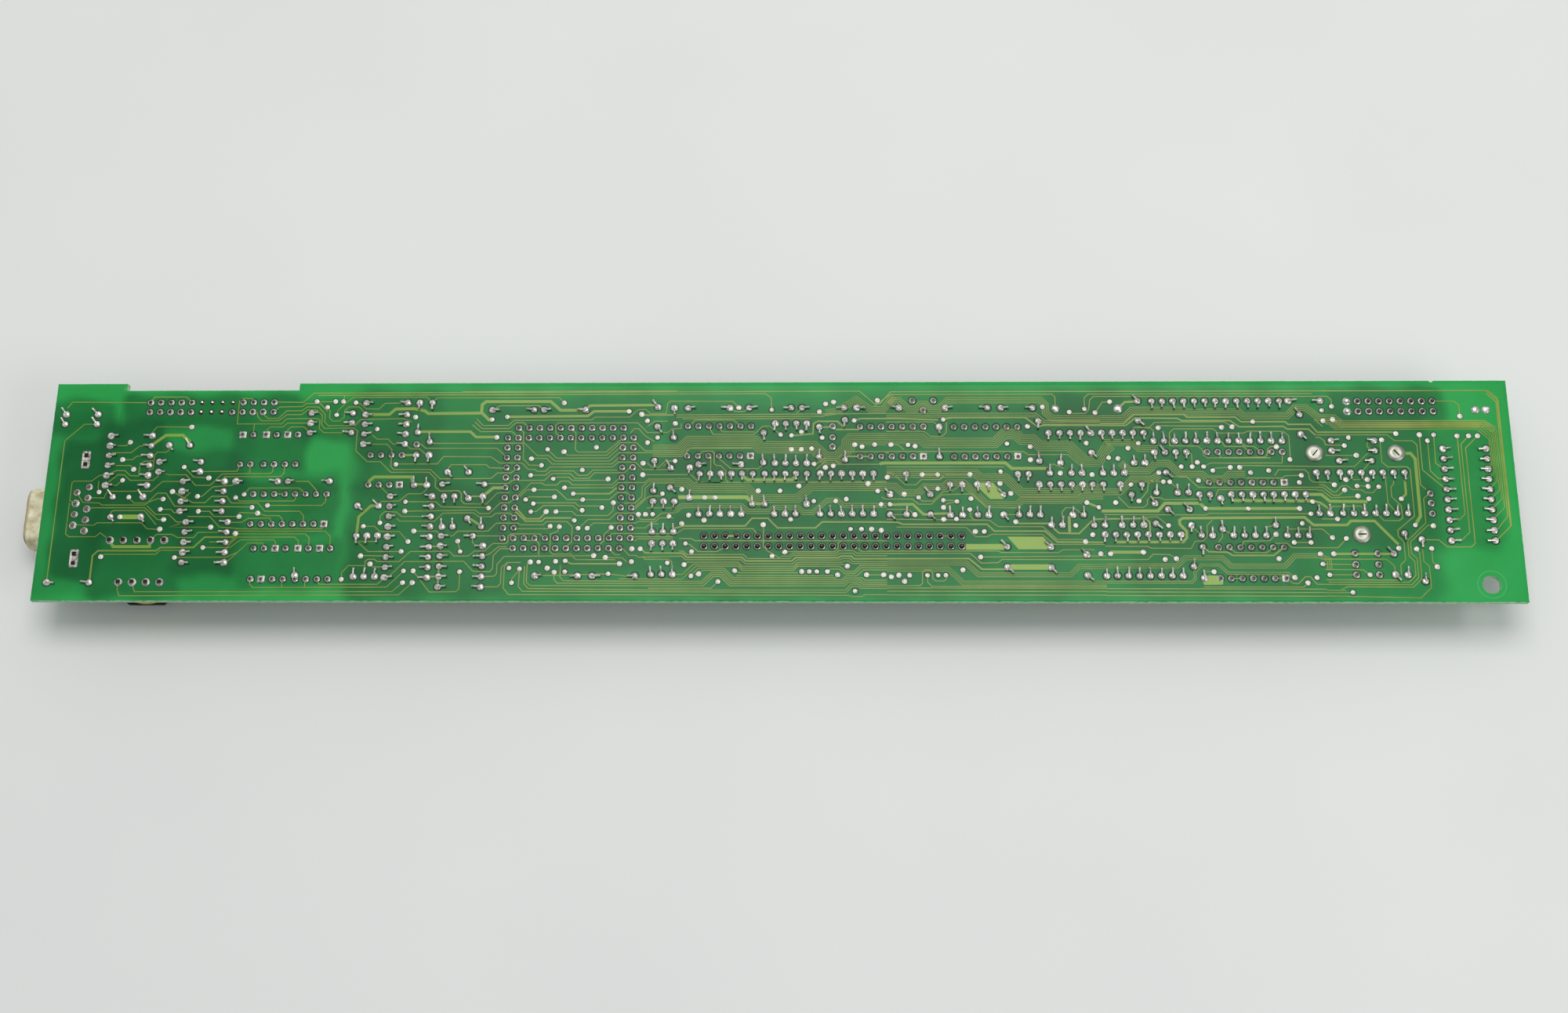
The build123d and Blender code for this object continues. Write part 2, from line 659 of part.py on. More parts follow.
def cell_straps():
    """Positive strap under the can with two blades, and negative strap over the cap with one."""
    top = -board_thickness - tab_reach
    low = stand_height
    positive = None
    for angle in tab_angles:
        arm = strap_arm(angle, low - strap_sheet) + tab_blade(angle, low, top)
        positive = arm if positive is None else positive + arm
    cap_top = low - strap_sheet - cell_height
    negative = strap_arm(negative_tab_angle, cap_top - strap_sheet)
    return positive, negative + tab_blade(negative_tab_angle, cap_top, top)


def lug_solder():
    """Solder domes round the three tabs."""
    domes = []
    for angle in (*tab_angles, negative_tab_angle):
        u, v = tab_place(angle)
        base = point(u, v, -board_thickness)
        dome = extrude(RegularPolygon(lug_solder_radius, lug_solder_sides), lug_solder_height,
                       taper=lug_solder_taper)
        domes.append(Pos(base) * dome - tab_blade(angle, 0, -board_thickness - tab_reach))
    return domes


# ---------------------------------------------------------------- writing the nodes
os.makedirs("parts", exist_ok=True)

write("circuit_board", circuit_board())
write("connector_shell", connector_shell())
write("connector_insulator", connector_insulator())
write("connector_contacts", connector_contacts())
write("connector_locks", connector_locks())

write("header_26_housing", box_header(header_small_u, header_small_v, header_small_columns))
write("header_26_pins", header_pins(header_small_u, header_small_v, header_small_columns))
write("header_50_housing", box_header(header_large_u, header_large_v, header_large_columns))
write("header_50_pins", header_pins(header_large_u, header_large_v, header_large_columns))
write("socket_strip", socket_strip())
jumper_body, jumper_pins = jumper()
write("jumper_base", jumper_body)
write("jumper_pins", jumper_pins)

write("processor_socket", processor_socket())
write("processor_socket_contacts", socket_contacts())
write("processor_chip", processor_chip())

for columns, places in ((4, chips_8), (7, chips_14), (8, chips_16)):
    write(f"chips_{2 * columns}_way", [row_chip(u, v, columns) for u, v in places])
    legs = [chip_legs(u, v, columns, chip_width, chip_thickness) for u, v in places]
    write(f"chips_{2 * columns}_way_legs", [leg for chip in legs for leg in chip])
opto_bodies, opto_legs = all_optos()
write("optocouplers", opto_bodies)
write("optocoupler_legs", opto_legs)

write("resistors_lengthwise", bodies_along(resistors_lengthwise, long_span, resistor_length, resistor_radius))
write("resistors_crosswise", bodies_across(resistors_crosswise, long_span, resistor_length, resistor_radius))
along = bodies_along(diodes_lengthwise, short_span, diode_length, diode_radius)
across = bodies_across(diodes_crosswise, short_span, diode_length, diode_radius)
write("diodes", along + across)
can, can_leads = big_capacitor()
write("electrolytic_capacitor", can)
write("electrolytic_capacitor_leads", can_leads)
pairs = [dipped_capacitor(u, v, 0) for u, v in dipped_lengthwise]
pairs += [dipped_capacitor(u, v, 90) for u, v in dipped_crosswise]
write("dipped_capacitors", [body for body, leads in pairs])
write("dipped_capacitor_leads", [lead for body, leads in pairs for lead in leads])

pairs = [transistor(u, v, 0) for u, v in transistors]
pairs.append(transistor(*regulator_place, 90))
write("transistors", [body for body, legs in pairs])
write("transistor_legs", [leg for body, legs in pairs for leg in legs])

bobbin, coil, core_halves, transformer_pins = transformer()
write("transformer_bobbin", bobbin)
write("transformer_coil", coil)
write("transformer_core_upper", core_halves[0])
write("transformer_core_lower", core_halves[1])
write("transformer_pins", transformer_pins)

positive_strap, negative_strap = cell_straps()
write("backup_cell", backup_cell())
write("cell_positive_strap", positive_strap)
write("cell_negative_strap", negative_strap)
write("cell_solder", lug_solder())
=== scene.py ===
import bmesh
import bpy
import numpy as np
from mathutils import Matrix, Vector


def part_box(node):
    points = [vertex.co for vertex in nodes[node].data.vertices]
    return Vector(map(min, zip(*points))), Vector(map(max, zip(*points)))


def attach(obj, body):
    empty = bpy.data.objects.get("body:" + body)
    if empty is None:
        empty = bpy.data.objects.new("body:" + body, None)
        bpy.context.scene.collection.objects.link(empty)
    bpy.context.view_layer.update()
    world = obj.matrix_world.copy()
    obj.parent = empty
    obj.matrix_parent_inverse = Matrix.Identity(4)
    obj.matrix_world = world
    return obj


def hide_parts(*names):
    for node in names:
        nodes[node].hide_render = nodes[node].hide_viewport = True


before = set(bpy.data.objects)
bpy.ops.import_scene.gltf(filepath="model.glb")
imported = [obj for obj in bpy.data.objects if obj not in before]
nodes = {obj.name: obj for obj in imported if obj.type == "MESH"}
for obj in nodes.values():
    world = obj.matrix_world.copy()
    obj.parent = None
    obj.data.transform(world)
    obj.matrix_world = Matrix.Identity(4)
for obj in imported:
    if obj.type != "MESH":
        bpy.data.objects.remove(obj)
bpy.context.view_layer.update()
board_low, board_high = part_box("circuit_board")

# ---------------------------------------------------------------------------------- view
# The camera stands about half a metre above the board and a little in front of it, so the
# whole solder side shows and the front cut edge is just seen.
view_place = (0.0220, -0.15825, 0.47525)
view_turns = (6.004, 18.57, -5.720)  # degrees: last turn, tilt, first turn
view_lens = 46.92

first = Matrix.Rotation(np.radians(view_turns[2]), 4, "Z")
tilt = Matrix.Rotation(np.radians(view_turns[1]), 4, "X")
last = Matrix.Rotation(np.radians(view_turns[0]), 4, "Z")
camera = bpy.data.objects.new("view_camera", bpy.data.cameras.new("view_camera"))
camera.data.lens = view_lens
camera.data.sensor_width = 36.0
camera.data.clip_start = 0.01
camera.matrix_world = Matrix.Translation(view_place) @ last @ tilt @ first
bpy.context.scene.collection.objects.link(camera)
bpy.context.scene.camera = camera
bpy.context.scene.view_settings.view_transform = "Standard"


# ---------------------------------------------------------------------------------- studio
# A pale paper floor under a large overhead soft box, with a weak fill from the right and an
# even, slightly cool surround, so that the board keeps a soft shadow along its front edge.
def colour(red, green, blue):
    """Linear colour of a screen colour given from 0 to 255."""
    value = np.array([red, green, blue], float) / 255.0
    linear = np.where(value <= 0.04045, value / 12.92, ((value + 0.055) / 1.055) ** 2.4)
    return (*linear, 1.0)


def node(material, kind, **settings):
    """New node in a material or node group; settings name its inputs, or its own properties."""
    made = material.nodes.new(kind)
    for name, value in settings.items():
        label = name.replace("_", " ").title()
        if label in made.inputs:
            made.inputs[label].default_value = value
        else:
            setattr(made, name, value)
    return made


def link(tree, source, output, target, entry):
    """Wires one node's output to another node's input."""
    tree.links.new(source.outputs[output], target.inputs[entry])


def new_material(name, base, roughness, metallic=0.0, **others):
    """Material with one Principled shader whose plain values sit on its own sockets."""
    material = bpy.data.materials.new(name)
    material.use_nodes = True
    shader = material.node_tree.nodes["Principled BSDF"]
    shader.inputs["Base Color"].default_value = base
    shader.inputs["Roughness"].default_value = roughness
    shader.inputs["Metallic"].default_value = metallic
    for label, value in others.items():
        shader.inputs[label.replace("_", " ")].default_value = value
    return material, material.node_tree, shader


floor_colour = colour(222, 224, 221)
floor_half = 1.5
floor_mesh = bpy.data.meshes.new("studio_floor")
floor_mesh.from_pydata(
    [(-floor_half, -floor_half, 0), (floor_half, -floor_half, 0),
     (floor_half, floor_half, 0), (-floor_half, floor_half, 0)], [], [(0, 1, 2, 3)])
floor = bpy.data.objects.new("studio_floor", floor_mesh)
bpy.context.scene.collection.objects.link(floor)
paper, tree, shader = new_material("floor_paper", floor_colour, 0.9)
place = node(tree, "ShaderNodeTexCoord")
fibre = node(tree, "ShaderNodeTexNoise", scale=9.0, detail=3.0)
tint = node(tree, "ShaderNodeMix", data_type="RGBA")
tint.inputs[6].default_value, tint.inputs[7].default_value = colour(217, 218, 216), colour(227, 229, 226)
link(tree, place, "Object", fibre, "Vector")
link(tree, fibre, "Fac", tint, 0)
link(tree, tint, 2, shader, "Base Color")
floor_side = node(tree, "ShaderNodeNewGeometry")
seen_above = node(tree, "ShaderNodeMath", operation="SUBTRACT")
seen_above.inputs[0].default_value = 1.0  # from below the paper is clear, so the parts show
link(tree, floor_side, "Backfacing", seen_above, 1)
link(tree, seen_above, "Value", shader, "Alpha")
floor_mesh.materials.append(paper)


def soft_box(name, place, aim, size, power, tone=(1.0, 1.0, 1.0)):
    """Rectangular lamp of a given size that faces a point."""
    lamp = bpy.data.lights.new(name, "AREA")
    lamp.shape = "RECTANGLE"
    lamp.size, lamp.size_y = size
    lamp.energy, lamp.color = power, tone
    made = bpy.data.objects.new(name, lamp)
    facing = (Vector(aim) - Vector(place)).to_track_quat("-Z", "Y").to_matrix().to_4x4()
    made.matrix_world = Matrix.Translation(place) @ facing
    bpy.context.scene.collection.objects.link(made)


soft_box("overhead_box", (0.05, 0.35, 1.1), (0.0, 0.0, 0.0), (0.76, 0.56), 6.35, (1.05, 1.0, 0.99))
soft_box("right_box", (0.9, -0.5, 0.7), (0.1, 0.0, 0.0), (0.6, 0.5), 3.0)
surround_strength = 0.72
world = bpy.data.worlds.new("even_surround")
world.use_nodes = True
background = world.node_tree.nodes["Background"]
background.inputs["Strength"].default_value = surround_strength
tree = world.node_tree
sky = node(tree, "ShaderNodeTexCoord")
height_of = node(tree, "ShaderNodeVectorMath", operation="DOT_PRODUCT")
brightest_from = (-0.25, 0.55, 0.75)  # above and behind, a little to the left
height_of.inputs[1].default_value = brightest_from
fade = node(tree, "ShaderNodeMapRange", clamp=True, from_min=-0.2, from_max=0.95, to_min=0.18, to_max=1.0)
link(tree, sky, "Generated", height_of, 0)
link(tree, height_of, "Value", fade, "Value")
cool = node(tree, "ShaderNodeMix", data_type="RGBA", blend_type="MULTIPLY")
cool.inputs[0].default_value = 1.0
cool.inputs[6].default_value = (0.93, 1.0, 1.01, 1.0)
link(tree, fade, "Result", cool, 7)
link(tree, cool, 2, background, "Color")
bpy.context.scene.world = world


# ---------------------------------------------------------------------------------- board
# Glass laminate, 1.6 mm thick, sawn to a long strip with a stepped rear edge and one hole
# for a screw. Both faces carry a glossy green solder mask, which lets the shade of the parts
# below show through as painted shade; the cut edges are bare and pale, with a thin pale line
# in patches along them.
MM = 0.001
length, width = (board_high - board_low)[0] / MM, (board_high - board_low)[1] / MM
thickness = (board_high - board_low)[2] / MM
step_from, step_to, step_v = 17.4, 59.9, 53.5
nick_u, nick_v, nick_half = 334.0, 54.85, 0.65
screw_u, screw_v, screw_radius, screw_patch = 343.6, 4.25, 2.175, 3.75
rim = 0.12  # width of the pale line along each cut edge
edge_round = 0.07  # how far each face falls at a cut edge
far_shade = 0.3  # share of the shade that the component side shows
pitch = 2.54  # spacing of the holes
rng = np.random.default_rng(7)


def on_board(u, v, above=0.0):
    """Points in metres: u from the left end, v from the front edge, above the upper face, in mm."""
    u, v, above = np.broadcast_arrays(np.asarray(u, float), np.asarray(v, float), np.asarray(above, float))
    return np.stack([board_low[0] + u * MM, board_low[1] + v * MM, board_high[2] + above * MM], -1)


def build(name, points, faces, material, slot, stands_for=(), smooth=35.0, values=None, colours=None):
    """Mesh piece from an array of points in metres and arrays of faces with equally many corners."""
    mesh = bpy.data.meshes.new(name)
    faces = [np.asarray(f, np.int32) for f in faces if len(f)]
    corners = np.concatenate([f.ravel() for f in faces])
    sizes = np.concatenate([np.full(len(f), f.shape[1], np.int32) for f in faces])
    mesh.vertices.add(len(points))
    mesh.vertices.foreach_set("co", np.asarray(points, np.float32).ravel())
    mesh.loops.add(len(corners))
    mesh.loops.foreach_set("vertex_index", corners)
    mesh.polygons.add(len(sizes))
    mesh.polygons.foreach_set("loop_start", np.concatenate([[0], np.cumsum(sizes)[:-1]]).astype(np.int32))
    for label, array in (values or {}).items():
        layer = mesh.attributes.new(label, "FLOAT", "POINT")
        layer.data.foreach_set("value", np.asarray(array, np.float32).ravel())
    for label, array in (colours or {}).items():
        layer = mesh.attributes.new(label, "FLOAT_COLOR", "POINT")
        layer.data.foreach_set("color", np.asarray(array, np.float32).ravel())
    mesh.update(calc_edges=True)
    mesh.validate()
    mesh.shade_smooth()
    mesh.set_sharp_from_angle(angle=np.radians(smooth))
    mesh.materials.append(material)
    piece = bpy.data.objects.new(name, mesh)
    bpy.context.scene.collection.objects.link(piece)
    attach(piece, "root")
    if stands_for:
        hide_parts(*stands_for)
    return piece


def lay(name, points, quads, material, slot, stands_for=(), **others):
    """The same from points in board millimetres and one array of quads."""
    build(name, on_board(*points.T), [quads], material, slot, stands_for, **others)


def effect(name, inputs, outputs):
    """Empty shader node group with named number inputs and outputs, and its two end nodes."""
    group = bpy.data.node_groups.new(name, "ShaderNodeTree")
    for label, default in inputs.items():
        socket = group.interface.new_socket(label, in_out="INPUT", socket_type="NodeSocketFloat")
        socket.default_value = default
    for label, kind in outputs.items():
        group.interface.new_socket(label, in_out="OUTPUT", socket_type=kind)
    return group, group.nodes.new("NodeGroupInput"), group.nodes.new("NodeGroupOutput")


# Uneven: soft patches, from 0 to 1, for colour and gloss that vary over a surface.
uneven, start, end = effect("uneven", {"Size": 200.0, "Detail": 4.0, "From": 0.35, "To": 0.65},
                            {"Mask": "NodeSocketFloat"})
place = node(uneven, "ShaderNodeTexCoord")
cloud = node(uneven, "ShaderNodeTexNoise")
reach = node(uneven, "ShaderNodeMapRange", clamp=True)
link(uneven, place, "Object", cloud, "Vector")
link(uneven, start, "Size", cloud, "Scale")
link(uneven, start, "Detail", cloud, "Detail")
link(uneven, cloud, "Fac", reach, "Value")
link(uneven, start, "From", reach, "From Min")
link(uneven, start, "To", reach, "From Max")
link(uneven, reach, "Result", end, "Mask")

# Grain: fine bumps of a moulded, drawn or soldered surface.
grain, start, end = effect("grain", {"Size": 2500.0, "Height": 0.00002, "Strength": 0.4},
                           {"Normal": "NodeSocketVector"})
place = node(grain, "ShaderNodeTexCoord")
cloud = node(grain, "ShaderNodeTexNoise", detail=3.0)
raised = node(grain, "ShaderNodeBump")
link(grain, place, "Object", cloud, "Vector")
link(grain, start, "Size", cloud, "Scale")
link(grain, cloud, "Fac", raised, "Height")
link(grain, start, "Height", raised, "Distance")
link(grain, start, "Strength", raised, "Strength")
link(grain, raised, "Normal", end, "Normal")


def grouped(tree, group, **values):
    """A shared effect placed in a material with its own values."""
    made = tree.nodes.new("ShaderNodeGroup")
    made.node_tree = group
    for label, value in values.items():
        made.inputs[label.title()].default_value = value
    return made


def blended(tree, low, high, mask):
    """Mix of two colours, or of a colour and another socket, by a mask socket."""
    mixed = node(tree, "ShaderNodeMix", data_type="RGBA")
    for index, value in ((6, low), (7, high)):
        if isinstance(value, bpy.types.NodeSocket):
            tree.links.new(value, mixed.inputs[index])
        else:
            mixed.inputs[index].default_value = value
    tree.links.new(mask, mixed.inputs[0])
    return mixed.outputs[2]


def glossed(tree, shader, patches, low, high):
    """Roughness that wanders between two values with the same patches as the colour."""
    gloss = node(tree, "ShaderNodeMapRange", to_min=low, to_max=high)
    link(tree, patches, "Mask", gloss, "Value")
    link(tree, gloss, "Result", shader, "Roughness")


def grained(tree, shader, **values):
    """Fine grain on a shader, with its own values."""
    tree.links.new(grouped(tree, grain, **values).outputs["Normal"], shader.inputs["Normal"])


def finish(name, low, high, roughness, metallic=0.0, patch=300.0, fine=2500.0, bump=0.4,
           height=0.00002, **others):
    """Material whose colour and gloss wander between two values, over a fine grain."""
    material, tree, shader = new_material(name, low, roughness[0], metallic, **others)
    patches = grouped(tree, uneven, size=patch)
    tree.links.new(blended(tree, low, high, patches.outputs["Mask"]), shader.inputs["Base Color"])
    glossed(tree, shader, patches, *roughness)
    grained(tree, shader, size=fine, strength=bump, height=height)
    return material


def shade_below(u, v):
    """Shade that the parts on the other side throw through the laminate, from 0 to 1.

    Each part's footprint is a box with soft sides: 1 inside, falling over a few millimetres. Slow
    waves bend the footprints, so that no side of theirs shows as a straight line.
    """
    light = np.ones_like(u)
    u, v = u + 0.5 * np.sin(0.55 * v + 0.31 * u), v + 0.5 * np.sin(0.5 * u + 0.4 * v)
    for left, right, front, rear, depth, soft in shades:
        soft, depth = soft + spread_below, min(depth * deepen, darkest)
        across = np.clip(1 - np.maximum(left - u, u - right) / soft, 0, 1)
        along = np.clip(1 - np.maximum(front - v, v - rear) / soft, 0, 1)
        inside = across * along
        light *= 1 - depth * inside * inside * (3 - 2 * inside)
    return 1 - light


spread_below, deepen, darkest = 0.6, 1.2, 0.94
# Footprints of what shades the laminate: left, right, front, rear, depth of shade, softness.
shades = [
    (-4, 48, 3, 45, 0.3, 3.5), (4.5, 13.5, 6.5, 39.5, 0.7, 2.5), (-3, 13.5, 43, 49.5, 0.5, 2.5),
    (18.5, 59.5, 45.2, 51, 0.55, 2.2), (14.5, 33.5, 2, 17.5, 0.55, 3), (14.5, 26.5, 27.5, 43.5, 0.7, 3),
    (14, 36, 18, 28, 0.75, 3), (27, 46, 28, 36, 0.6, 3), (33.5, 47, 20.5, 31.5, 0.7, 2.5),
    (35, 47, 8, 20.5, 0.65, 3), (45.5, 62, 33.5, 43, 0.55, 2), (47, 70.5, 17.5, 28.5, 0.55, 2.5),
    (50.5, 72, 4.5, 14, 0.5, 2.5), (62, 75, 42, 49.5, 0.5, 2.5), (46, 71, 28.5, 31, 0.3, 2),
    (77, 330, 2.5, 50.5, 0.45, 5), (76, 94, 37.5, 51, 0.4, 3), (78, 93.5, 27.5, 37.5, 0.4, 2.5),
    (76, 110, 2.5, 27.5, 0.38, 3), (76, 83, 5.5, 17, 0.3, 2.5), (93, 110, 26, 44.5, 0.25, 3),
    (107, 131, 46.5, 50, 0.2, 2), (109, 145.5, 8.5, 47.5, 0.34, 2.5), (154, 226, 9.5, 20, 0.4, 2),
    (152, 178, 34, 47, 0.38, 3), (148, 204, 21, 34, 0.35, 3), (178, 240, 30, 47, 0.38, 3),
    (205, 245, 18, 30, 0.3, 3), (238, 304, 14, 46.5, 0.36, 3), (146, 245, 2.5, 9.5, 0.2, 3),
    (243, 260, 45, 51.3, 0.3, 2), (262, 300, 4, 12, 0.25, 3), (246, 304, 42, 51.5, 0.2, 2.5),
    (301, 330, 15, 44, 0.4, 3), (310, 335.5, 45, 52.3, 0.5, 2), (333, 346, 15, 41.5, 0.35, 3),
]
hole_low_u, hole_high_u = screw_u - screw_patch, screw_u + screw_patch
hole_low_v, hole_high_v = screw_v - screw_patch, screw_v + screw_patch
cells = 8
grid_step, line_gap = 1.0, 0.35


def merged_lines(even, special, patch):
    """Grid lines: the special ones, and the even ones clear of them and of the hole's patch."""
    special = np.array(sorted(special))
    near = np.abs(even[:, None] - special[None, :]).min(1) < line_gap
    near |= (even > patch[0]) & (even < patch[1])
    return np.sort(np.concatenate([even[~near], special]))


lines_u = merged_lines(np.arange(0, length, grid_step), [
    0, rim, step_from - rim, step_from, step_to, step_to + rim, nick_u - nick_half, nick_u,
    nick_u + nick_half, length - rim, length, *np.linspace(hole_low_u, hole_high_u, cells + 1)],
    (hole_low_u, hole_high_u))
lines_v = merged_lines(np.arange(0, width, grid_step), [
    0, rim, step_v - rim, step_v, width - rim, width, *np.linspace(hole_low_v, hole_high_v, cells + 1)],
    (hole_low_v, hole_high_v))
columns, rows = len(lines_u), len(lines_v)
grid_u, grid_v = np.meshgrid(lines_u, lines_v, indexing="ij")
at_nick = np.abs(grid_u - nick_u) < 1e-6
grid_v = np.where(at_nick & (grid_v > width - 1e-6), nick_v, grid_v)
grid_v = np.where(at_nick & (np.abs(grid_v - (width - rim)) < 1e-6), nick_v - rim, grid_v)
index = np.arange(columns * rows).reshape(columns, rows)
quads = np.stack([index[:-1, :-1], index[1:, :-1], index[1:, 1:], index[:-1, 1:]], -1).reshape(-1, 4)
middle_u = (lines_u[:-1, None] + lines_u[1:, None]) / 2 + np.zeros(rows - 1)
middle_v = (lines_v[None, :-1] + lines_v[None, 1:]) / 2 + np.zeros((columns - 1, 1))
in_step = (middle_u > step_from) & (middle_u < step_to) & (middle_v > step_v)
in_patch = (middle_u > hole_low_u) & (middle_u < hole_high_u)
in_patch &= (middle_v > hole_low_v) & (middle_v < hole_high_v)
quads = quads[~(in_step | in_patch).ravel()]

# The square patch round the screw hole: rings that pass from the square to the circle.
first_u, first_v = np.argmin(np.abs(lines_u - hole_low_u)), np.argmin(np.abs(lines_v - hole_low_v))
run = np.arange(cells)
border = np.concatenate([
    index[first_u + run, first_v], index[first_u + cells, first_v + run],
    index[first_u + cells - run, first_v + cells], index[first_u, first_v + cells - run]])
border_u, border_v = grid_u.ravel()[border], grid_v.ravel()[border]
turn = np.arctan2(border_v - screw_v, border_u - screw_u)
ring_u, ring_v = [], []
for share in (0.35, 0.7, 1.0 - rim / screw_patch, 1.0):
    ring_u.append(border_u * (1 - share) + (screw_u + screw_radius * np.cos(turn)) * share)
    ring_v.append(border_v * (1 - share) + (screw_v + screw_radius * np.sin(turn)) * share)
first_ring = columns * rows
rings = [border] + [first_ring + i * len(border) + np.arange(len(border)) for i in range(len(ring_u))]
for outer, inner in zip(rings[:-1], rings[1:]):
    quads = np.concatenate([quads, np.stack([outer, np.roll(outer, -1), np.roll(inner, -1), inner], -1)])
flat_u = np.concatenate([grid_u.ravel(), *ring_u])
flat_v = np.concatenate([grid_v.ravel(), *ring_v])

# Two skins and the walls between their open edges make one closed plate.
used, quads = np.unique(quads, return_inverse=True)
quads = quads.reshape(-1, 4)
flat_u, flat_v = flat_u[used], flat_v[used]
edges = np.concatenate([quads[:, [0, 1]], quads[:, [1, 2]], quads[:, [2, 3]], quads[:, [3, 0]]])
_, back, count = np.unique(np.sort(edges, 1), axis=0, return_inverse=True, return_counts=True)
open_edges = edges[count[back.ravel()] == 1]
at_edge = np.zeros(len(flat_u), bool)
at_edge[open_edges] = True
drop = np.where(at_edge, edge_round, 0.0)
pale_edge = np.where(at_edge, 1.0, 0.0)
shade = shade_below(flat_u, flat_v)
upper = on_board(flat_u, flat_v, -drop)
lower = on_board(flat_u, flat_v, drop - thickness)
many = len(flat_u)
walls = np.stack([open_edges[:, 1], open_edges[:, 0], open_edges[:, 0] + many, open_edges[:, 1] + many], -1)

# The mask runs from bright to dark green by the attribute "shade": painted shade of the parts below.
mask, tree, shader = new_material("solder_mask", colour(40, 140, 66), 0.22, Specular_IOR_Level=0.12)
shade_value = node(tree, "ShaderNodeAttribute", attribute_name="shade")
rim_value = node(tree, "ShaderNodeAttribute", attribute_name="rim")
patches = grouped(tree, uneven, size=60.0, detail=3.0)
weave_u = node(tree, "ShaderNodeTexWave", wave_type="BANDS", bands_direction="X", scale=900.0, distortion=2.5)
weave_v = node(tree, "ShaderNodeTexWave", wave_type="BANDS", bands_direction="Y", scale=900.0, distortion=2.5)
place = node(tree, "ShaderNodeTexCoord")
link(tree, place, "Object", weave_u, "Vector")
link(tree, place, "Object", weave_v, "Vector")
weave = node(tree, "ShaderNodeMath", operation="MULTIPLY")
link(tree, weave_u, "Fac", weave, 0)
link(tree, weave_v, "Fac", weave, 1)
bright = blended(tree, colour(35, 147, 66), colour(44, 158, 78), patches.outputs["Mask"])
bright = blended(tree, bright, colour(50, 163, 85), weave.outputs["Value"])
dark = blended(tree, colour(10, 74, 36), colour(20, 90, 46), patches.outputs["Mask"])
body = blended(tree, bright, dark, shade_value.outputs["Fac"])
# A thin pale line in patches along each cut edge of both faces.
pale_edge_patch = grouped(tree, uneven, size=900.0, detail=2.0)
pale_edge_mask = node(tree, "ShaderNodeMath", operation="MULTIPLY")
link(tree, rim_value, "Fac", pale_edge_mask, 0)
link(tree, pale_edge_patch, "Mask", pale_edge_mask, 1)
skin = blended(tree, body, colour(186, 214, 190), pale_edge_mask.outputs["Value"])
tree.links.new(skin, shader.inputs["Base Color"])
ripple = node(tree, "ShaderNodeBump", distance=0.00001, strength=0.25)
link(tree, weave, "Value", ripple, "Height")
link(tree, ripple, "Normal", shader, "Normal")

cut_edge = finish("cut_laminate", colour(128, 190, 140), colour(190, 216, 184), (0.6, 0.8),
                  patch=900.0, bump=0.8)
board = build(
    "board", np.concatenate([upper, lower]), [quads, quads[:, ::-1] + many, walls], mask, "laminate",
    ["circuit_board"], values={"shade": np.concatenate([shade, shade * far_shade]), "rim": np.tile(pale_edge, 2)})
board.data.materials.append(cut_edge)
wall_material = np.zeros(len(board.data.polygons), np.int32)
wall_material[-len(walls):] = 1
board.data.polygons.foreach_set("material_index", wall_material)


# ---------------------------------------------------------------------------------- tracks
# Copper tracks under the mask, 0.22 to 1.2 mm wide and about 0.035 mm proud, the widest for
# the supply. They run in bundles between the rows of joints and mostly turn at 45 degrees.
fine, thin, medium, broad = 0.22, 0.27, 0.44, 0.80


def paths_of(table):
    """Paths from rows that hold u and v in turn, in tenths of a millimetre."""
    return [np.reshape(row, (-1, 2)) / 10 for row in table]


def paths_with(table):
    """Pairs of a path and the number, a width in mm or a count of tracks, that opens its row."""
    return [(path, row[0]) for path, row in zip(paths_of([row[1:] for row in table]), table)]


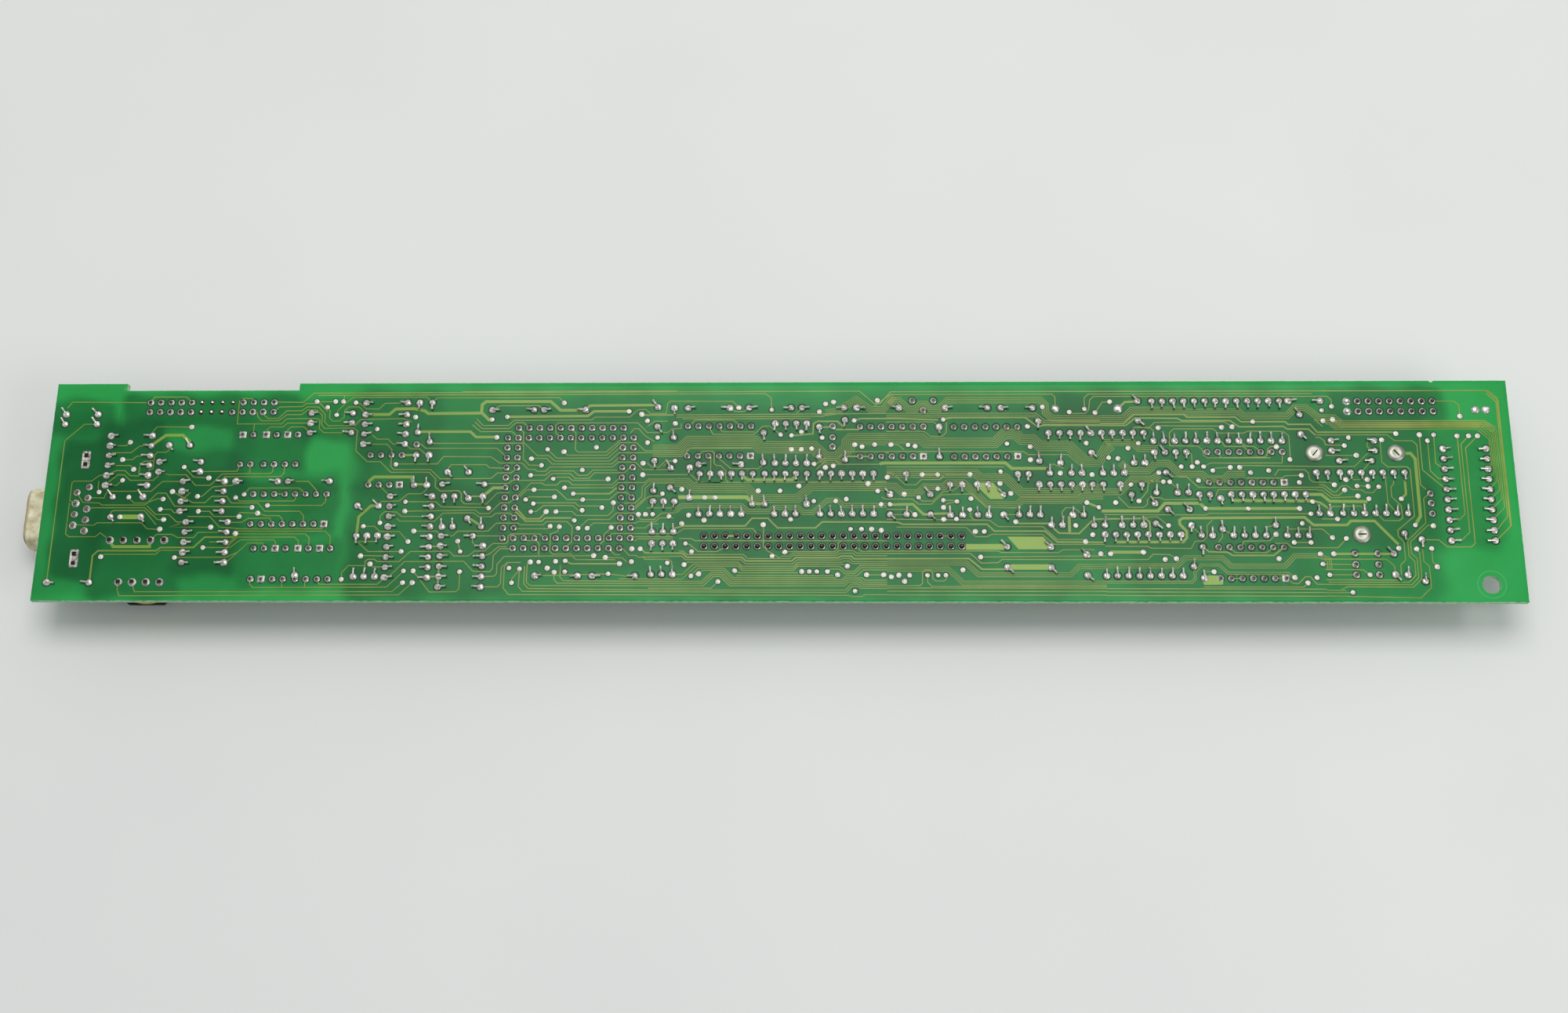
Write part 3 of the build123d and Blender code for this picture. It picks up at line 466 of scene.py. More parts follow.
# Thin tracks between single holes.
thin_routes = paths_of([
    [30, 489, 42, 505, 225, 503], [235, 504, 244, 518, 322, 518, 337, 504], [108, 447, 78, 447, 34, 404,
    34, 46], [248, 427, 258, 440, 343, 439], [196, 400, 187, 391, 147, 391], [153, 373, 201, 373,
    220, 390, 248, 391], [182, 355, 206, 355, 216, 364, 248, 365], [147, 340, 203, 340, 212, 330],
    [79, 245, 65, 250, 65, 296, 70, 300, 112, 300, 131, 315, 147, 315], [65, 245, 65, 166, 74, 159,
    138, 159, 149, 169, 174, 150], [147, 315, 170, 327, 191, 327, 205, 314, 226, 313, 226, 344, 237, 351,
    260, 352], [147, 290, 174, 316, 191, 316, 206, 302, 263, 302, 274, 313, 273, 324], [187, 302,
    174, 289, 147, 290], [134, 272, 130, 284, 130, 300], [293, 393, 293, 379, 286, 374, 265, 374,
    259, 366, 259, 332, 248, 328], [108, 258, 148, 257, 152, 270, 157, 274, 261, 274, 286, 299, 335, 299],
    [79, 272, 97, 246, 138, 244, 144, 239, 250, 239, 276, 269, 298, 269, 322, 236, 510, 234], [255, 237,
    278, 215, 310, 215, 331, 196, 353, 196], [252, 244, 279, 255, 292, 254], [207, 259, 222, 244,
    252, 244], [108, 230, 125, 232, 250, 232, 284, 202, 299, 202], [169, 209, 169, 221, 174, 225,
    250, 225, 282, 189], [340, 192, 313, 183, 415, 183], [79, 189, 131, 188, 138, 194, 246, 194, 261, 179,
    292, 177], [272, 150, 286, 165, 323, 165, 337, 157, 376, 157, 386, 170, 454, 170], [157, 109,
    165, 115, 289, 115, 299, 125, 353, 125], [335, 107, 460, 108, 485, 120], [206, 45, 206, 27, 212, 12,
    879, 15, 910, 45], [239, 45, 248, 22, 863, 23, 887, 45], [335, 336, 361, 310, 398, 308], [403, 289,
    429, 318, 547, 319, 552, 325, 553, 343], [273, 324, 301, 316, 342, 316, 367, 289, 403, 289],
    [374, 324, 465, 325, 471, 343], [375, 261, 386, 261, 410, 285, 457, 289, 466, 298], [496, 343,
    496, 320], [313, 273, 365, 245, 395, 245, 410, 261, 446, 261, 459, 244, 523, 244, 542, 223, 626, 223,
    637, 211, 637, 192], [335, 248, 356, 270, 337, 273], [287, 228, 314, 228, 323, 219, 335, 223],
    [381, 223, 408, 223, 420, 210, 481, 210], [356, 210, 410, 210, 436, 183, 480, 180], [401, 132,
    466, 132, 490, 151, 570, 151, 575, 145, 575, 130], [454, 96, 466, 100, 508, 143, 544, 143, 549, 133],
    [454, 195, 488, 195, 503, 205, 556, 206, 561, 192], [543, 504, 612, 503, 636, 527, 1968, 529,
    2003, 497, 2018, 497, 2043, 527, 3467, 527, 3495, 501, 3495, 186, 3456, 150], [646, 521, 1740, 523,
    1754, 512, 1756, 481], [696, 470, 699, 482, 714, 499, 734, 516, 915, 516, 927, 502], [927, 502,
    940, 514, 1238, 514, 1251, 501], [645, 504, 690, 505], [710, 505, 712, 520], [672, 490, 679, 482,
    679, 463, 687, 454, 705, 454, 715, 464, 715, 482, 725, 491, 750, 491, 768, 471], [741, 502, 754, 498,
    768, 486, 799, 485, 813, 500, 868, 501], [454, 510, 454, 447, 563, 447, 574, 460, 650, 461, 656, 456,
    656, 435, 668, 424, 733, 424], [500, 477, 503, 465, 513, 455, 555, 455, 574, 471, 610, 471, 624, 483,
    646, 483, 661, 469, 661, 445, 669, 435, 739, 436, 750, 429, 750, 377, 780, 349, 812, 349, 839, 322,
    932, 322, 949, 305, 949, 285, 962, 274, 1007, 275, 1014, 267, 1014, 250, 1022, 242, 1075, 241,
    1100, 269, 1130, 270], [515, 477, 519, 469, 529, 461, 553, 461, 573, 481, 610, 481, 622, 491,
    650, 491, 668, 471, 668, 452, 678, 442, 743, 443, 756, 458, 863, 460, 880, 451], [542, 479, 554, 491,
    610, 492, 619, 500, 653, 500, 674, 479], [460, 514, 485, 513, 490, 505], [496, 420, 496, 447],
    [528, 420, 529, 433, 537, 439, 567, 439, 577, 449, 634, 449], [580, 420, 580, 433, 588, 439, 618, 439,
    634, 425], [580, 343, 580, 320, 572, 311, 434, 311], [768, 420, 785, 420, 800, 407, 827, 407,
    840, 394, 868, 395, 883, 382, 905, 382, 926, 363], [897, 393, 908, 394, 920, 383, 1093, 383,
    1119, 359], [928, 401, 940, 396, 1155, 396, 1158, 384, 1158, 356, 1173, 340, 1200, 339], [768, 394,
    825, 394, 838, 380, 838, 337, 846, 329, 935, 329, 960, 305, 1083, 306, 1098, 320, 1130, 320,
    1144, 331], [850, 343, 950, 343, 965, 362, 1080, 361, 1102, 345, 1156, 345, 1172, 329, 1187, 329,
    1194, 324, 1213, 324, 1224, 335, 1375, 335, 1389, 348, 1430, 347, 1449, 328, 1525, 328], [978, 321,
    978, 332, 985, 341, 1070, 341, 1078, 333, 1119, 332], [812, 290, 840, 263], [928, 291, 928, 277,
    917, 267, 885, 267, 865, 249, 822, 248, 816, 238], [880, 247, 953, 247, 968, 234, 1081, 232],
    [880, 223, 1049, 226, 1060, 217, 1083, 217, 1109, 244, 1130, 244, 1144, 256], [822, 194, 822, 212,
    832, 222, 860, 221, 873, 210, 943, 210], [842, 210, 858, 208, 870, 198, 953, 198, 972, 218, 1046, 219,
    1058, 209, 1089, 209, 1100, 218, 1134, 218, 1144, 206], [783, 185, 810, 185, 823, 172, 870, 172,
    893, 147], [905, 173, 960, 173, 971, 161], [971, 161, 999, 161, 1011, 173, 1083, 173, 1102, 193,
    1154, 193, 1160, 189, 1214, 189, 1222, 197, 1270, 197, 1284, 184, 1284, 146, 1273, 136], [770, 148,
    799, 122, 878, 122], [773, 147, 815, 147], [782, 112, 842, 111], [794, 75, 794, 98, 800, 103,
    815, 103, 823, 97, 875, 97, 900, 122, 993, 123, 1005, 111, 1039, 111, 1053, 123, 1078, 124, 1096, 142,
    1128, 142, 1132, 147, 1132, 160, 1139, 166, 1207, 166, 1217, 157], [740, 53, 740, 70, 754, 87,
    792, 87], [806, 91, 812, 84, 842, 84], [842, 60, 855, 62, 888, 97, 1029, 98, 1053, 73, 1092, 72,
    1099, 80, 1099, 112, 1114, 129, 1144, 129], [682, 53, 688, 41, 827, 41, 842, 56], [522, 53, 522, 42,
    530, 33, 849, 34, 887, 73], [599, 53, 599, 34], [654, 53, 654, 34], [910, 74, 952, 22, 1015, 23,
    1022, 30, 1021, 72], [1012, 148, 1019, 123], [593, 299, 641, 299, 662, 277, 663, 267], [488, 266,
    499, 282, 620, 282, 636, 268], [468, 258, 478, 249, 610, 249, 614, 255, 612, 267], [547, 238,
    678, 238, 687, 247, 687, 267], [480, 220, 525, 218, 545, 212, 578, 212, 586, 203, 586, 192],
    [561, 267, 586, 267], [476, 179, 683, 179, 687, 191], [480, 173, 692, 173, 706, 159, 706, 130],
    [415, 146, 465, 146, 484, 166, 645, 166, 655, 156, 655, 130], [454, 121, 463, 139, 482, 158, 620, 158,
    630, 148, 630, 130], [1000, 530, 1525, 530.5], [1077, 482, 1095, 493, 1190, 493, 1202, 482],
    [1040, 459, 1056, 442, 1118, 442, 1131, 455, 1320, 456, 1328, 463, 1412, 463, 1432, 482, 1450, 483,
    1462, 472, 1500, 472, 1503, 498, 1510, 504, 1662, 503, 1676, 487], [1036, 451, 1054, 434, 1120, 434,
    1136, 449, 1155, 449, 1165, 439], [1030, 444, 1051, 426, 1127, 426, 1144, 411], [1066, 293, 1126, 293,
    1134, 301, 1212, 301, 1229, 318, 1274, 318, 1286, 306, 1319, 306, 1332, 320, 1403, 320, 1420, 335],
    [1047, 161, 1114, 161, 1119, 155], [1047, 160, 1047, 146, 1055, 136, 1073, 135], [1073, 110,
    1090, 116, 1110, 134, 1130, 134], [1073, 60, 1103, 61, 1109, 67, 1109, 90, 1125, 110, 1338, 112],
    [1073, 35, 1113, 35, 1120, 43, 1120, 83, 1133, 95, 1165, 95], [1135, 93, 1127, 84, 1127, 32, 1140, 16,
    1938, 15, 1950, 12, 1972, 12, 1980, 16.5, 2032, 16.5], [1163, 79, 1163, 35, 1173, 24, 1936, 22,
    1950, 37, 1964, 37, 1970, 32, 2032, 32], [1175, 86, 1175, 43, 1186, 31, 1480, 27.5, 1934, 27.5,
    1948, 42.5, 1965, 42.5, 1972, 37, 2032, 38], [1181, 92, 1181, 46, 1191, 38, 1600, 38, 1623, 61,
    1639, 61, 1662, 38, 1932, 38, 1942, 47.5, 1968, 47.5, 1974, 42, 2032, 42], [1246, 71, 1246, 54,
    1254, 44, 1597, 43.5, 1620, 66, 1641, 66, 1664, 43, 1930, 43, 1940, 52.5, 1970, 52.5, 1976, 47,
    2032, 47], [1260, 88, 1260, 59, 1269, 50, 1595, 48.5, 1618, 71, 1643, 71, 1666, 48, 1928, 48,
    1938, 57.5, 1974, 57.5, 1980, 52, 2032, 52], [1146, 45, 1146, 54, 1162, 76], [1200, 62, 1374, 67,
    1420, 61], [1525, 350, 1510, 350, 1497, 336], [1653, 486, 1668, 477, 1689, 477, 1701, 486],
    [1525, 468.3, 2032, 471], [1525, 462.4, 1880, 464, 1890, 469], [1540, 458, 1850, 458], [1829, 486,
    1816, 472], [1604, 438, 1615, 418, 1713, 417, 1735, 439, 1752, 439, 1778, 417], [1611, 362,
    1611, 317], [1630, 363, 1630, 356, 1660, 330, 1725, 330, 1740, 344], [1574, 295, 2032, 297],
    [1530, 165, 1550, 179, 1715, 179, 1726, 164], [1540, 155, 1570, 154, 1578, 149, 2032, 149],
    [1740, 190, 1740, 136, 1750, 124, 1780, 106], [1555, 142, 1565, 140, 1586, 122, 1630, 122, 1648, 132],
    [2003, 490, 2042, 520, 2432, 520, 2439, 513, 2439, 489], [2509, 482, 2509, 510, 2519, 520, 3055, 520],
    [2472, 474, 2478, 470, 2510, 470, 2519, 480, 2522, 505, 2532, 514, 3055, 513], [2534, 472, 2552, 499,
    2570, 500], [2032, 449, 2146, 449, 2159, 437], [2032, 425, 2123, 425, 2138, 412, 2166, 412, 2176, 422,
    2177, 448], [2032, 373.4, 2360, 373, 2370, 365, 2465, 365, 2498, 333], [2043, 391, 2060, 391,
    2074, 378], [2410, 330, 2430, 341, 2454, 330], [2032, 334, 2312, 334], [2032, 319, 2045, 319,
    2077, 289, 2102, 289, 2115, 302, 2160, 302, 2172, 314, 2231, 314], [2117, 315, 2154, 315], [2108, 257,
    2116, 248, 2142, 248, 2167, 272, 2187, 273, 2212, 289], [2020, 258, 2030, 253, 2093, 253, 2108, 240,
    2138, 240, 2164, 264, 2235, 266, 2270, 232, 2340, 230], [2167, 250, 2199, 249], [2167, 232, 2175, 242,
    2199, 246], [2229, 227, 2231, 209, 2238, 201, 2275, 200, 2295, 184, 2400, 184, 2434, 152, 2495, 152],
    [2309, 214, 2345, 214], [2032, 227, 2083, 227, 2099, 214], [2042, 214, 2079, 214], [2032, 202.9,
    2260, 200], [2055, 183, 2220, 182, 2242, 159, 2268, 159, 2280, 165, 2399, 165, 2425, 140, 2545, 140],
    [2447, 189, 2447, 221, 2456, 231, 2475, 231, 2493, 216], [2159, 161, 2184, 161], [2032, 123.5,
    2293, 124, 2301, 120, 2435, 120, 2446, 127, 2520, 127], [2032, 117.5, 2228, 118, 2254, 94, 2293, 95,
    2302, 103, 2545, 102.5], [2252, 109, 2545, 111.9], [2032, 38, 2110, 39, 2115, 44, 2115, 71, 2121, 77,
    2133, 77, 2139, 71, 2139, 56, 2146, 50, 2166, 50, 2173, 59], [2127, 64, 2127, 47, 2137, 37, 2545, 37],
    [2683, 433, 2690, 438, 2830, 437], [2627, 435, 2662, 434, 2675, 447, 2840, 448, 2859, 436],
    [2620, 420, 2626, 434, 2665, 432, 2672, 423, 2671, 400], [2709, 400, 2709, 420, 2719, 430, 2813, 430,
    2822, 422, 2822, 400], [2823, 419, 2885, 419, 2896, 424, 2980, 423, 2992, 412, 2992, 353], [2830, 399,
    2840, 385, 2883, 385, 2896, 372], [2872, 400, 2887, 386, 2908, 385, 2923, 372], [2707, 399, 2709, 387,
    2775, 386, 2786, 376, 2787, 364, 2796, 356, 2933, 358, 2938, 364, 2940, 378, 2948, 385, 2961, 384],
    [2759, 334, 2759, 365, 2750, 375], [2822, 371, 2829, 356, 2945, 356], [2807, 324, 2812, 330,
    2849, 332], [2786, 334, 2802, 343, 2972, 343, 2974, 369], [2875, 337, 3055, 334.1], [2952, 311,
    2962, 326, 3024, 326, 3032, 318, 3034, 302, 3042, 295, 3080, 294, 3091, 289], [3015, 312, 2978, 311,
    2969, 305, 2885, 305], [2707, 309, 2744, 309, 2771, 282, 3060, 282], [2810, 260, 2817, 276, 3050, 276,
    3055, 273.5], [2630, 248, 2650, 272, 2653, 291, 2660, 298, 2689, 296], [2704, 296, 2717, 284,
    2722, 270], [2580, 259, 2605, 232, 2640, 232, 2648, 239, 2649, 251, 2655, 256, 2680, 256, 2688, 251,
    2770, 252], [2545, 213.9, 2785, 213, 2793, 217, 3030, 216], [2620, 205, 2670, 209, 2694, 188],
    [2545, 135.9, 2645, 135, 2652, 131, 2746, 130, 2756, 148, 2775, 149, 2785, 160, 2786, 187, 2799, 200],
    [2747, 186, 2772, 164], [2821, 178, 2847, 163], [2820, 170, 2821, 159, 2810, 145], [2923, 162,
    2926, 183, 2947, 188], [2946, 165, 2930, 149, 2870, 148, 2863, 134], [2973, 160, 2973, 178, 3055, 178,
    3077, 157], [2987, 145, 3026, 145], [2942, 143, 2969, 143, 2982, 132, 3088, 132, 3109, 154],
    [2835, 133, 2848, 120, 2922, 120, 2937, 132], [2710, 105, 2695, 115, 2656, 116, 2644, 103,
    2545, 102.5], [2773, 57, 2775, 74, 2796, 73], [2834, 57, 2860, 57], [2937, 58, 2962, 57, 2978, 45,
    2990, 44, 3007, 61, 3019, 61, 3033, 43, 3055, 42.5], [3012, 46, 3002, 36, 2770, 36], [3050, 92,
    3126, 91], [3472, 528, 3493, 508, 3493, 185, 3459, 151], [3468, 520, 3490, 498, 3489, 210, 3462, 177],
    [3055, 513, 3090, 513, 3099, 504, 3099, 488], [3055, 454.4, 3074, 436], [3076, 450, 3086, 441],
    [3099, 452, 3112, 446], [3055, 414, 3225, 414, 3241, 399, 3283, 399, 3293, 389, 3293, 288, 3305, 276],
    [3055, 408, 3065, 408, 3076, 398, 3077, 389, 3122, 387], [3338, 500, 3390, 500, 3401, 490, 3401, 461],
    [3301, 414, 3301, 325, 3350, 278], [3319, 399, 3319, 323, 3337, 303, 3350, 303], [3335, 414,
    3333, 342, 3350, 328], [3390, 411, 3390, 215, 3375, 200, 3353, 200], [3417, 411, 3397, 390, 3397, 170,
    3378, 152, 3353, 152], [3438, 411, 3407, 380, 3407, 143, 3397, 134, 3342, 134, 3324, 151, 3284, 152],
    [3211, 401, 3207, 394, 3207, 345, 3220, 333, 3265, 333, 3272, 326, 3272, 210, 3230, 175, 3230, 160,
    3242, 147, 3242, 102, 3230, 90, 3229, 66], [3176, 400, 3176, 383, 3187, 375], [3075, 362, 3148, 362],
    [3178, 370, 3142, 334, 3055, 334.1], [3182, 349, 3158, 320], [3212, 310, 3213, 242, 3232, 218],
    [3231, 300, 3230, 290, 3223, 282, 3223, 258, 3243, 236, 3244, 205, 3236, 199, 3200, 199, 3182, 220],
    [3119, 301, 3169, 301], [3144, 286, 3170, 284], [3055, 288, 3066, 288, 3087, 270, 3094, 270,
    3107, 285, 3120, 286, 3132, 276, 3154, 275, 3164, 268, 3180, 268, 3195, 283], [3055, 282, 3063, 282,
    3086, 262, 3100, 262, 3114, 274], [3055, 273.5, 3060, 275, 3082, 256, 3144, 258], [3079, 226,
    3082, 234, 3150, 235, 3157, 220], [3055, 203, 3092, 203], [3055, 104, 3198, 104, 3215, 88, 3216, 66],
    [3055, 78.9, 3142, 78, 3157, 66], [3064, 66, 3126, 66], [3055, 53.9, 3220, 53], [3060, 48, 3246, 48,
    3263, 65, 3263, 99, 3251, 112, 3251, 149, 3297, 193, 3297, 253, 3312, 267], [3055, 42.5, 3252, 42,
    3269, 59, 3269, 106, 3257, 118, 3257, 146, 3302, 188, 3314, 186], [3088, 30, 3103, 37, 3255, 36,
    3276, 56, 3276, 119, 3270, 129], [3055, 28, 3098, 28], [3055, 22.2, 3114, 23], [3055, 14.7, 3270, 10,
    3296, 35, 3296, 87, 3284, 99, 3284, 140], [3305, 130, 3305, 98, 3314, 86], [1242, 414, 1234, 423,
    1233, 442, 1239, 448, 1432, 448, 1456, 423, 1506, 423, 1515, 432, 1537, 433, 1538, 446], [1149, 432,
    1156, 423, 1156, 399, 1192, 364, 1220, 364, 1235, 350, 1367, 350, 1389, 371, 1525, 371], [1274, 430,
    1283, 422, 1283, 380, 1290, 373, 1358, 373, 1392, 404], [1256, 374, 1265, 365, 1360, 365, 1392, 397,
    1430, 397, 1452, 376, 1525, 376], [1216, 380, 1239, 357.5, 1363, 357.5, 1388, 382], [1180, 357,
    1215, 357, 1229, 342.5, 1373, 342.5, 1389, 358], [1180, 314, 1214, 314, 1226, 325, 1281, 325,
    1293, 313.5, 1315, 313.5, 1328, 327, 1386, 327], [1236, 306, 1242, 309, 1271, 309, 1279, 301,
    1360, 301], [1149, 260, 1180, 294, 1207, 294, 1213, 289, 1242, 289, 1252, 299, 1270, 299, 1280, 289.5,
    1375, 289.5, 1391, 305], [1261, 282, 1377, 282, 1390, 295, 1453, 295, 1463, 304, 1525, 304],
    [1154, 259, 1171, 277, 1243, 277, 1269, 252, 1370, 252, 1389, 270, 1410, 270, 1420, 262], [1170, 253,
    1177, 259, 1238, 259], [1189, 244, 1288, 244, 1297, 236, 1350, 236], [1184, 222, 1196, 222, 1212, 237,
    1283, 237, 1298, 224], [1244, 222, 1282, 222, 1293, 212, 1368, 212, 1380, 224, 1380, 242], [1144, 179,
    1228, 179], [1253, 180, 1249, 172, 1233, 166, 1233, 123, 1240, 116, 1283, 116, 1296, 102, 1390, 102],
    [1299, 180, 1321, 202, 1372, 202, 1388, 218, 1434, 218], [1321, 180, 1334, 193, 1435, 193, 1442, 197,
    1482, 197, 1492, 206, 1525, 206], [1379, 182, 1361, 165, 1361, 150, 1352, 140], [1373, 160, 1380, 167,
    1525, 167], [1425, 159, 1525, 159], [1174, 150, 1202, 148, 1207, 140, 1207, 113], [1364, 107,
    1406, 107, 1418, 96], [1373, 129, 1389, 114, 1400, 114], [1400, 129, 1407, 129, 1422, 113, 1437, 113,
    1445, 108, 1547, 111, 1556, 102, 1688, 102, 1698, 92, 1810, 92, 1820, 101.5, 1922, 101.5, 1926, 105,
    1945, 105, 1952, 97.5, 2032, 97.5], [1415, 422, 1424, 433, 1435, 433, 1450, 415, 1473, 400],
    [1456, 439, 1473, 452, 1504, 452], [1406, 243, 1432, 243, 1448, 260, 1448, 284, 1463, 299, 1525, 299],
    [1424, 232, 1430, 232, 1455, 256, 1455, 281, 1469, 294, 1525, 294], [1432, 228, 1462, 258, 1472, 261,
    1496, 261], [1458, 345, 1470, 334, 1487, 334, 1502, 350, 1518, 350], [1454, 315, 1564, 315, 1583, 296,
    1636, 295], [1460, 231, 1525, 231], [1439, 212, 1447, 202, 1479, 202, 1496, 218, 1525, 218],
    [1425, 181, 1458, 181, 1470, 191, 1490, 191], [1433, 148, 1442, 154, 1525, 154], [1456, 111,
    1460, 103, 1515, 103, 1524, 96, 1525, 70], [1589, 68, 1597, 76, 1646, 76, 1669, 53, 1926, 53,
    1936, 62.5, 1961, 62.5, 1976, 77, 2032, 77], [1571, 65, 1587, 81, 1648, 81, 1671, 58, 1911, 58,
    1916, 64], [1400, 55, 1549, 54, 1581, 86, 1681, 86, 1691, 76, 1812, 76, 1822, 86, 1920, 86, 1935, 73,
    1954, 73, 1969, 87.5, 2032, 87.5], [1525, 66, 1550, 66, 1575, 91, 1681, 91, 1691, 81, 1812, 81,
    1822, 91, 1932, 91], [1554, 89, 1561, 96, 1681, 96, 1691, 86, 1812, 86, 1822, 96, 1925, 96, 1930, 99,
    1942, 99, 1949, 92.5, 2032, 92.5], [1470, 32, 1618, 32, 1633, 47], [1676, 73, 1684, 70, 1822, 70],
    [1678, 63, 1906, 63], [1984, 65, 2024, 65], [1540, 124, 1551, 123, 1559, 115, 1693, 115, 1703, 105,
    1802, 105, 1811, 113, 1915, 113, 1920, 118, 1952, 118, 1958, 112, 2032, 112], [1782, 111, 1801, 111,
    1810, 118, 1912, 118, 1919, 125, 1953, 125, 1961, 118, 2032, 117.5], [1795, 122, 1908, 122, 1917, 131,
    1917, 143, 1926, 151], [1963, 131, 1971, 123, 2032, 123.5], [1888, 74, 1899, 79, 1920, 79, 1932, 68,
    1956, 68, 1971, 82.5, 2032, 82.5], [1562, 444, 1570, 455, 1664, 455, 1679, 441], [1629, 437,
    1637, 424.5, 1715, 424], [1553, 366, 1553, 376, 1560, 382, 1710, 382], [1583, 365, 1590, 375,
    1615, 375, 1619, 370, 1619, 343, 1625, 338, 1635, 338, 1647, 325, 1648, 302, 1655, 295], [1865, 329,
    1888, 351, 1911, 351, 1921, 341, 2014, 341, 2020, 345], [1863, 341, 1883, 356, 1914, 356, 1925, 366],
    [1934, 373, 2030, 373, 2038, 368],
])
# Wider single tracks.
medium_routes = paths_of([
    [137, 45, 137, 112, 149, 124, 289, 124, 299, 132, 378, 132, 403, 158, 474, 158], [943, 60, 971, 60],
    [943, 135, 971, 135], [971, 85, 971, 35], [1031, 260, 1066, 261], [1271, 99, 1285, 92, 1400, 92],
    [1148, 230, 1172, 204, 1205, 204, 1219, 220], [1804, 414, 1856, 419, 1857, 445, 1866, 451, 1915, 451,
    1932, 434], [1871, 436, 1903, 436], [1910, 430, 1968, 430], [1955, 453, 1970, 458, 2060, 458,
    2157, 454], [1933, 361, 1995, 361], [1525, 179.2, 1549, 186, 1696, 186, 1712, 205, 1750, 205,
    1773, 181, 1863, 181, 1879, 196, 2032, 195.5], [1448, 131, 1460, 119, 1549, 118, 1559, 108, 1690, 108,
    1699, 99, 1808, 99, 1816, 107, 1919, 107, 1923, 111, 1948, 111, 1954, 104.5, 2032, 104.7], [2170, 456,
    2190, 460, 2366, 460, 2396, 436, 2410, 440, 2545, 439.5], [2032, 195.5, 2058, 195, 2070, 190,
    2269, 190, 2286, 173, 2405, 173, 2433, 146, 2545, 145.1], [2337, 196, 2345, 192, 2415, 192],
    [2420, 185, 2438, 168, 2485, 167, 2520, 202, 2545, 203.3], [2032, 104.7, 2225, 105, 2255, 79,
    2313, 79], [2545, 444, 2602, 444, 2626, 467, 2745, 467, 2753, 460, 2868, 460, 2881, 448, 2985, 448,
    2993, 441, 3045, 441, 3060, 421, 3238, 421, 3246, 417], [2545, 439.5, 2606, 439, 2629, 458, 2730, 457,
    2740, 451, 2855, 451, 2875, 435, 2980, 436, 2990, 429, 3040, 429, 3055, 414], [2545, 203.3, 2643, 204,
    2652, 195, 2652, 166], [2773, 134, 2787, 122, 2830, 121, 2841, 113, 2937, 113, 2962, 133], [1146, 222,
    1172, 198, 1210, 198, 1218, 206, 1282, 206], [1447, 468, 1525, 468.3], [1284, 267, 1370, 267,
    1387, 282],
])
# Broad tracks: each row opens with the track's width in mm.
broad_routes = paths_with([
    [0.8, 248, 391, 282, 418, 323, 418, 343, 400], [1.2, 192, 209, 242, 209], [0.8, 174, 150, 184, 134,
    272, 134, 272, 150], [0.8, 768, 471, 825, 471, 840, 485, 885, 486, 912, 480, 920, 473, 1050, 474],
    [0.7, 897, 426, 1026, 426, 1041, 412, 1091, 412], [0.6, 863, 366, 897, 366], [0.8, 787, 290, 789, 300,
    800, 310, 890, 310, 897, 290], [0.6, 897, 291, 928, 291], [0.7, 816, 237, 798, 237, 770, 209,
    768, 162], [0.8, 1050, 474, 1051, 496, 1060, 504, 1218, 504, 1243, 481, 1304, 481], [0.8, 1051, 475,
    1070, 456, 1077, 457], [0.7, 1114, 464, 1310, 466, 1325, 478, 1410, 478], [0.7, 1304, 482, 1315, 493,
    1475, 494], [0.8, 1066, 261, 1090, 282, 1119, 282], [0.6, 1031, 209, 1066, 186], [0.8, 2016, 341,
    2022, 344, 2034, 344], [0.8, 1687, 312, 1700, 302, 1807, 302, 1818, 315], [1, 1535, 258, 1698, 258,
    1711, 246], [0.7, 1711, 241, 1741, 241], [0.6, 1651, 161, 1675, 161], [0.8, 2032, 344, 2316, 344,
    2331, 330, 2412, 330], [0.7, 2040, 239, 2094, 240, 2119, 215, 2136, 214], [0.6, 2136, 216, 2181, 217],
    [0.7, 2463, 210, 2463, 170], [0.6, 2506, 244, 2534, 232], [0.6, 2634, 501, 2606, 499, 2592, 486],
    [0.8, 2540, 223, 2673, 223, 2690, 242, 2772, 242, 2785, 229, 3005, 229], [0.8, 2847, 249, 3037, 248],
    [0.8, 3023, 264, 3059, 264, 3077, 247, 3165, 246], [0.7, 2570, 146, 2728, 146, 2737, 157, 2737, 173,
    2722, 190, 2722, 200, 2730, 205, 3015, 207, 3035, 188, 3113, 188, 3123, 198, 3178, 198, 3229, 140],
    [0.8, 2557, 121, 2634, 121], [0.8, 3260, 367, 3276, 367, 3286, 353, 3286, 210, 3272, 188],
    [0.6, 3257, 300, 3257, 265, 3245, 253], [0.6, 3040, 248, 3055, 243, 3072, 230, 3076, 222],
    [0.6, 3077, 117, 3216, 117],
])
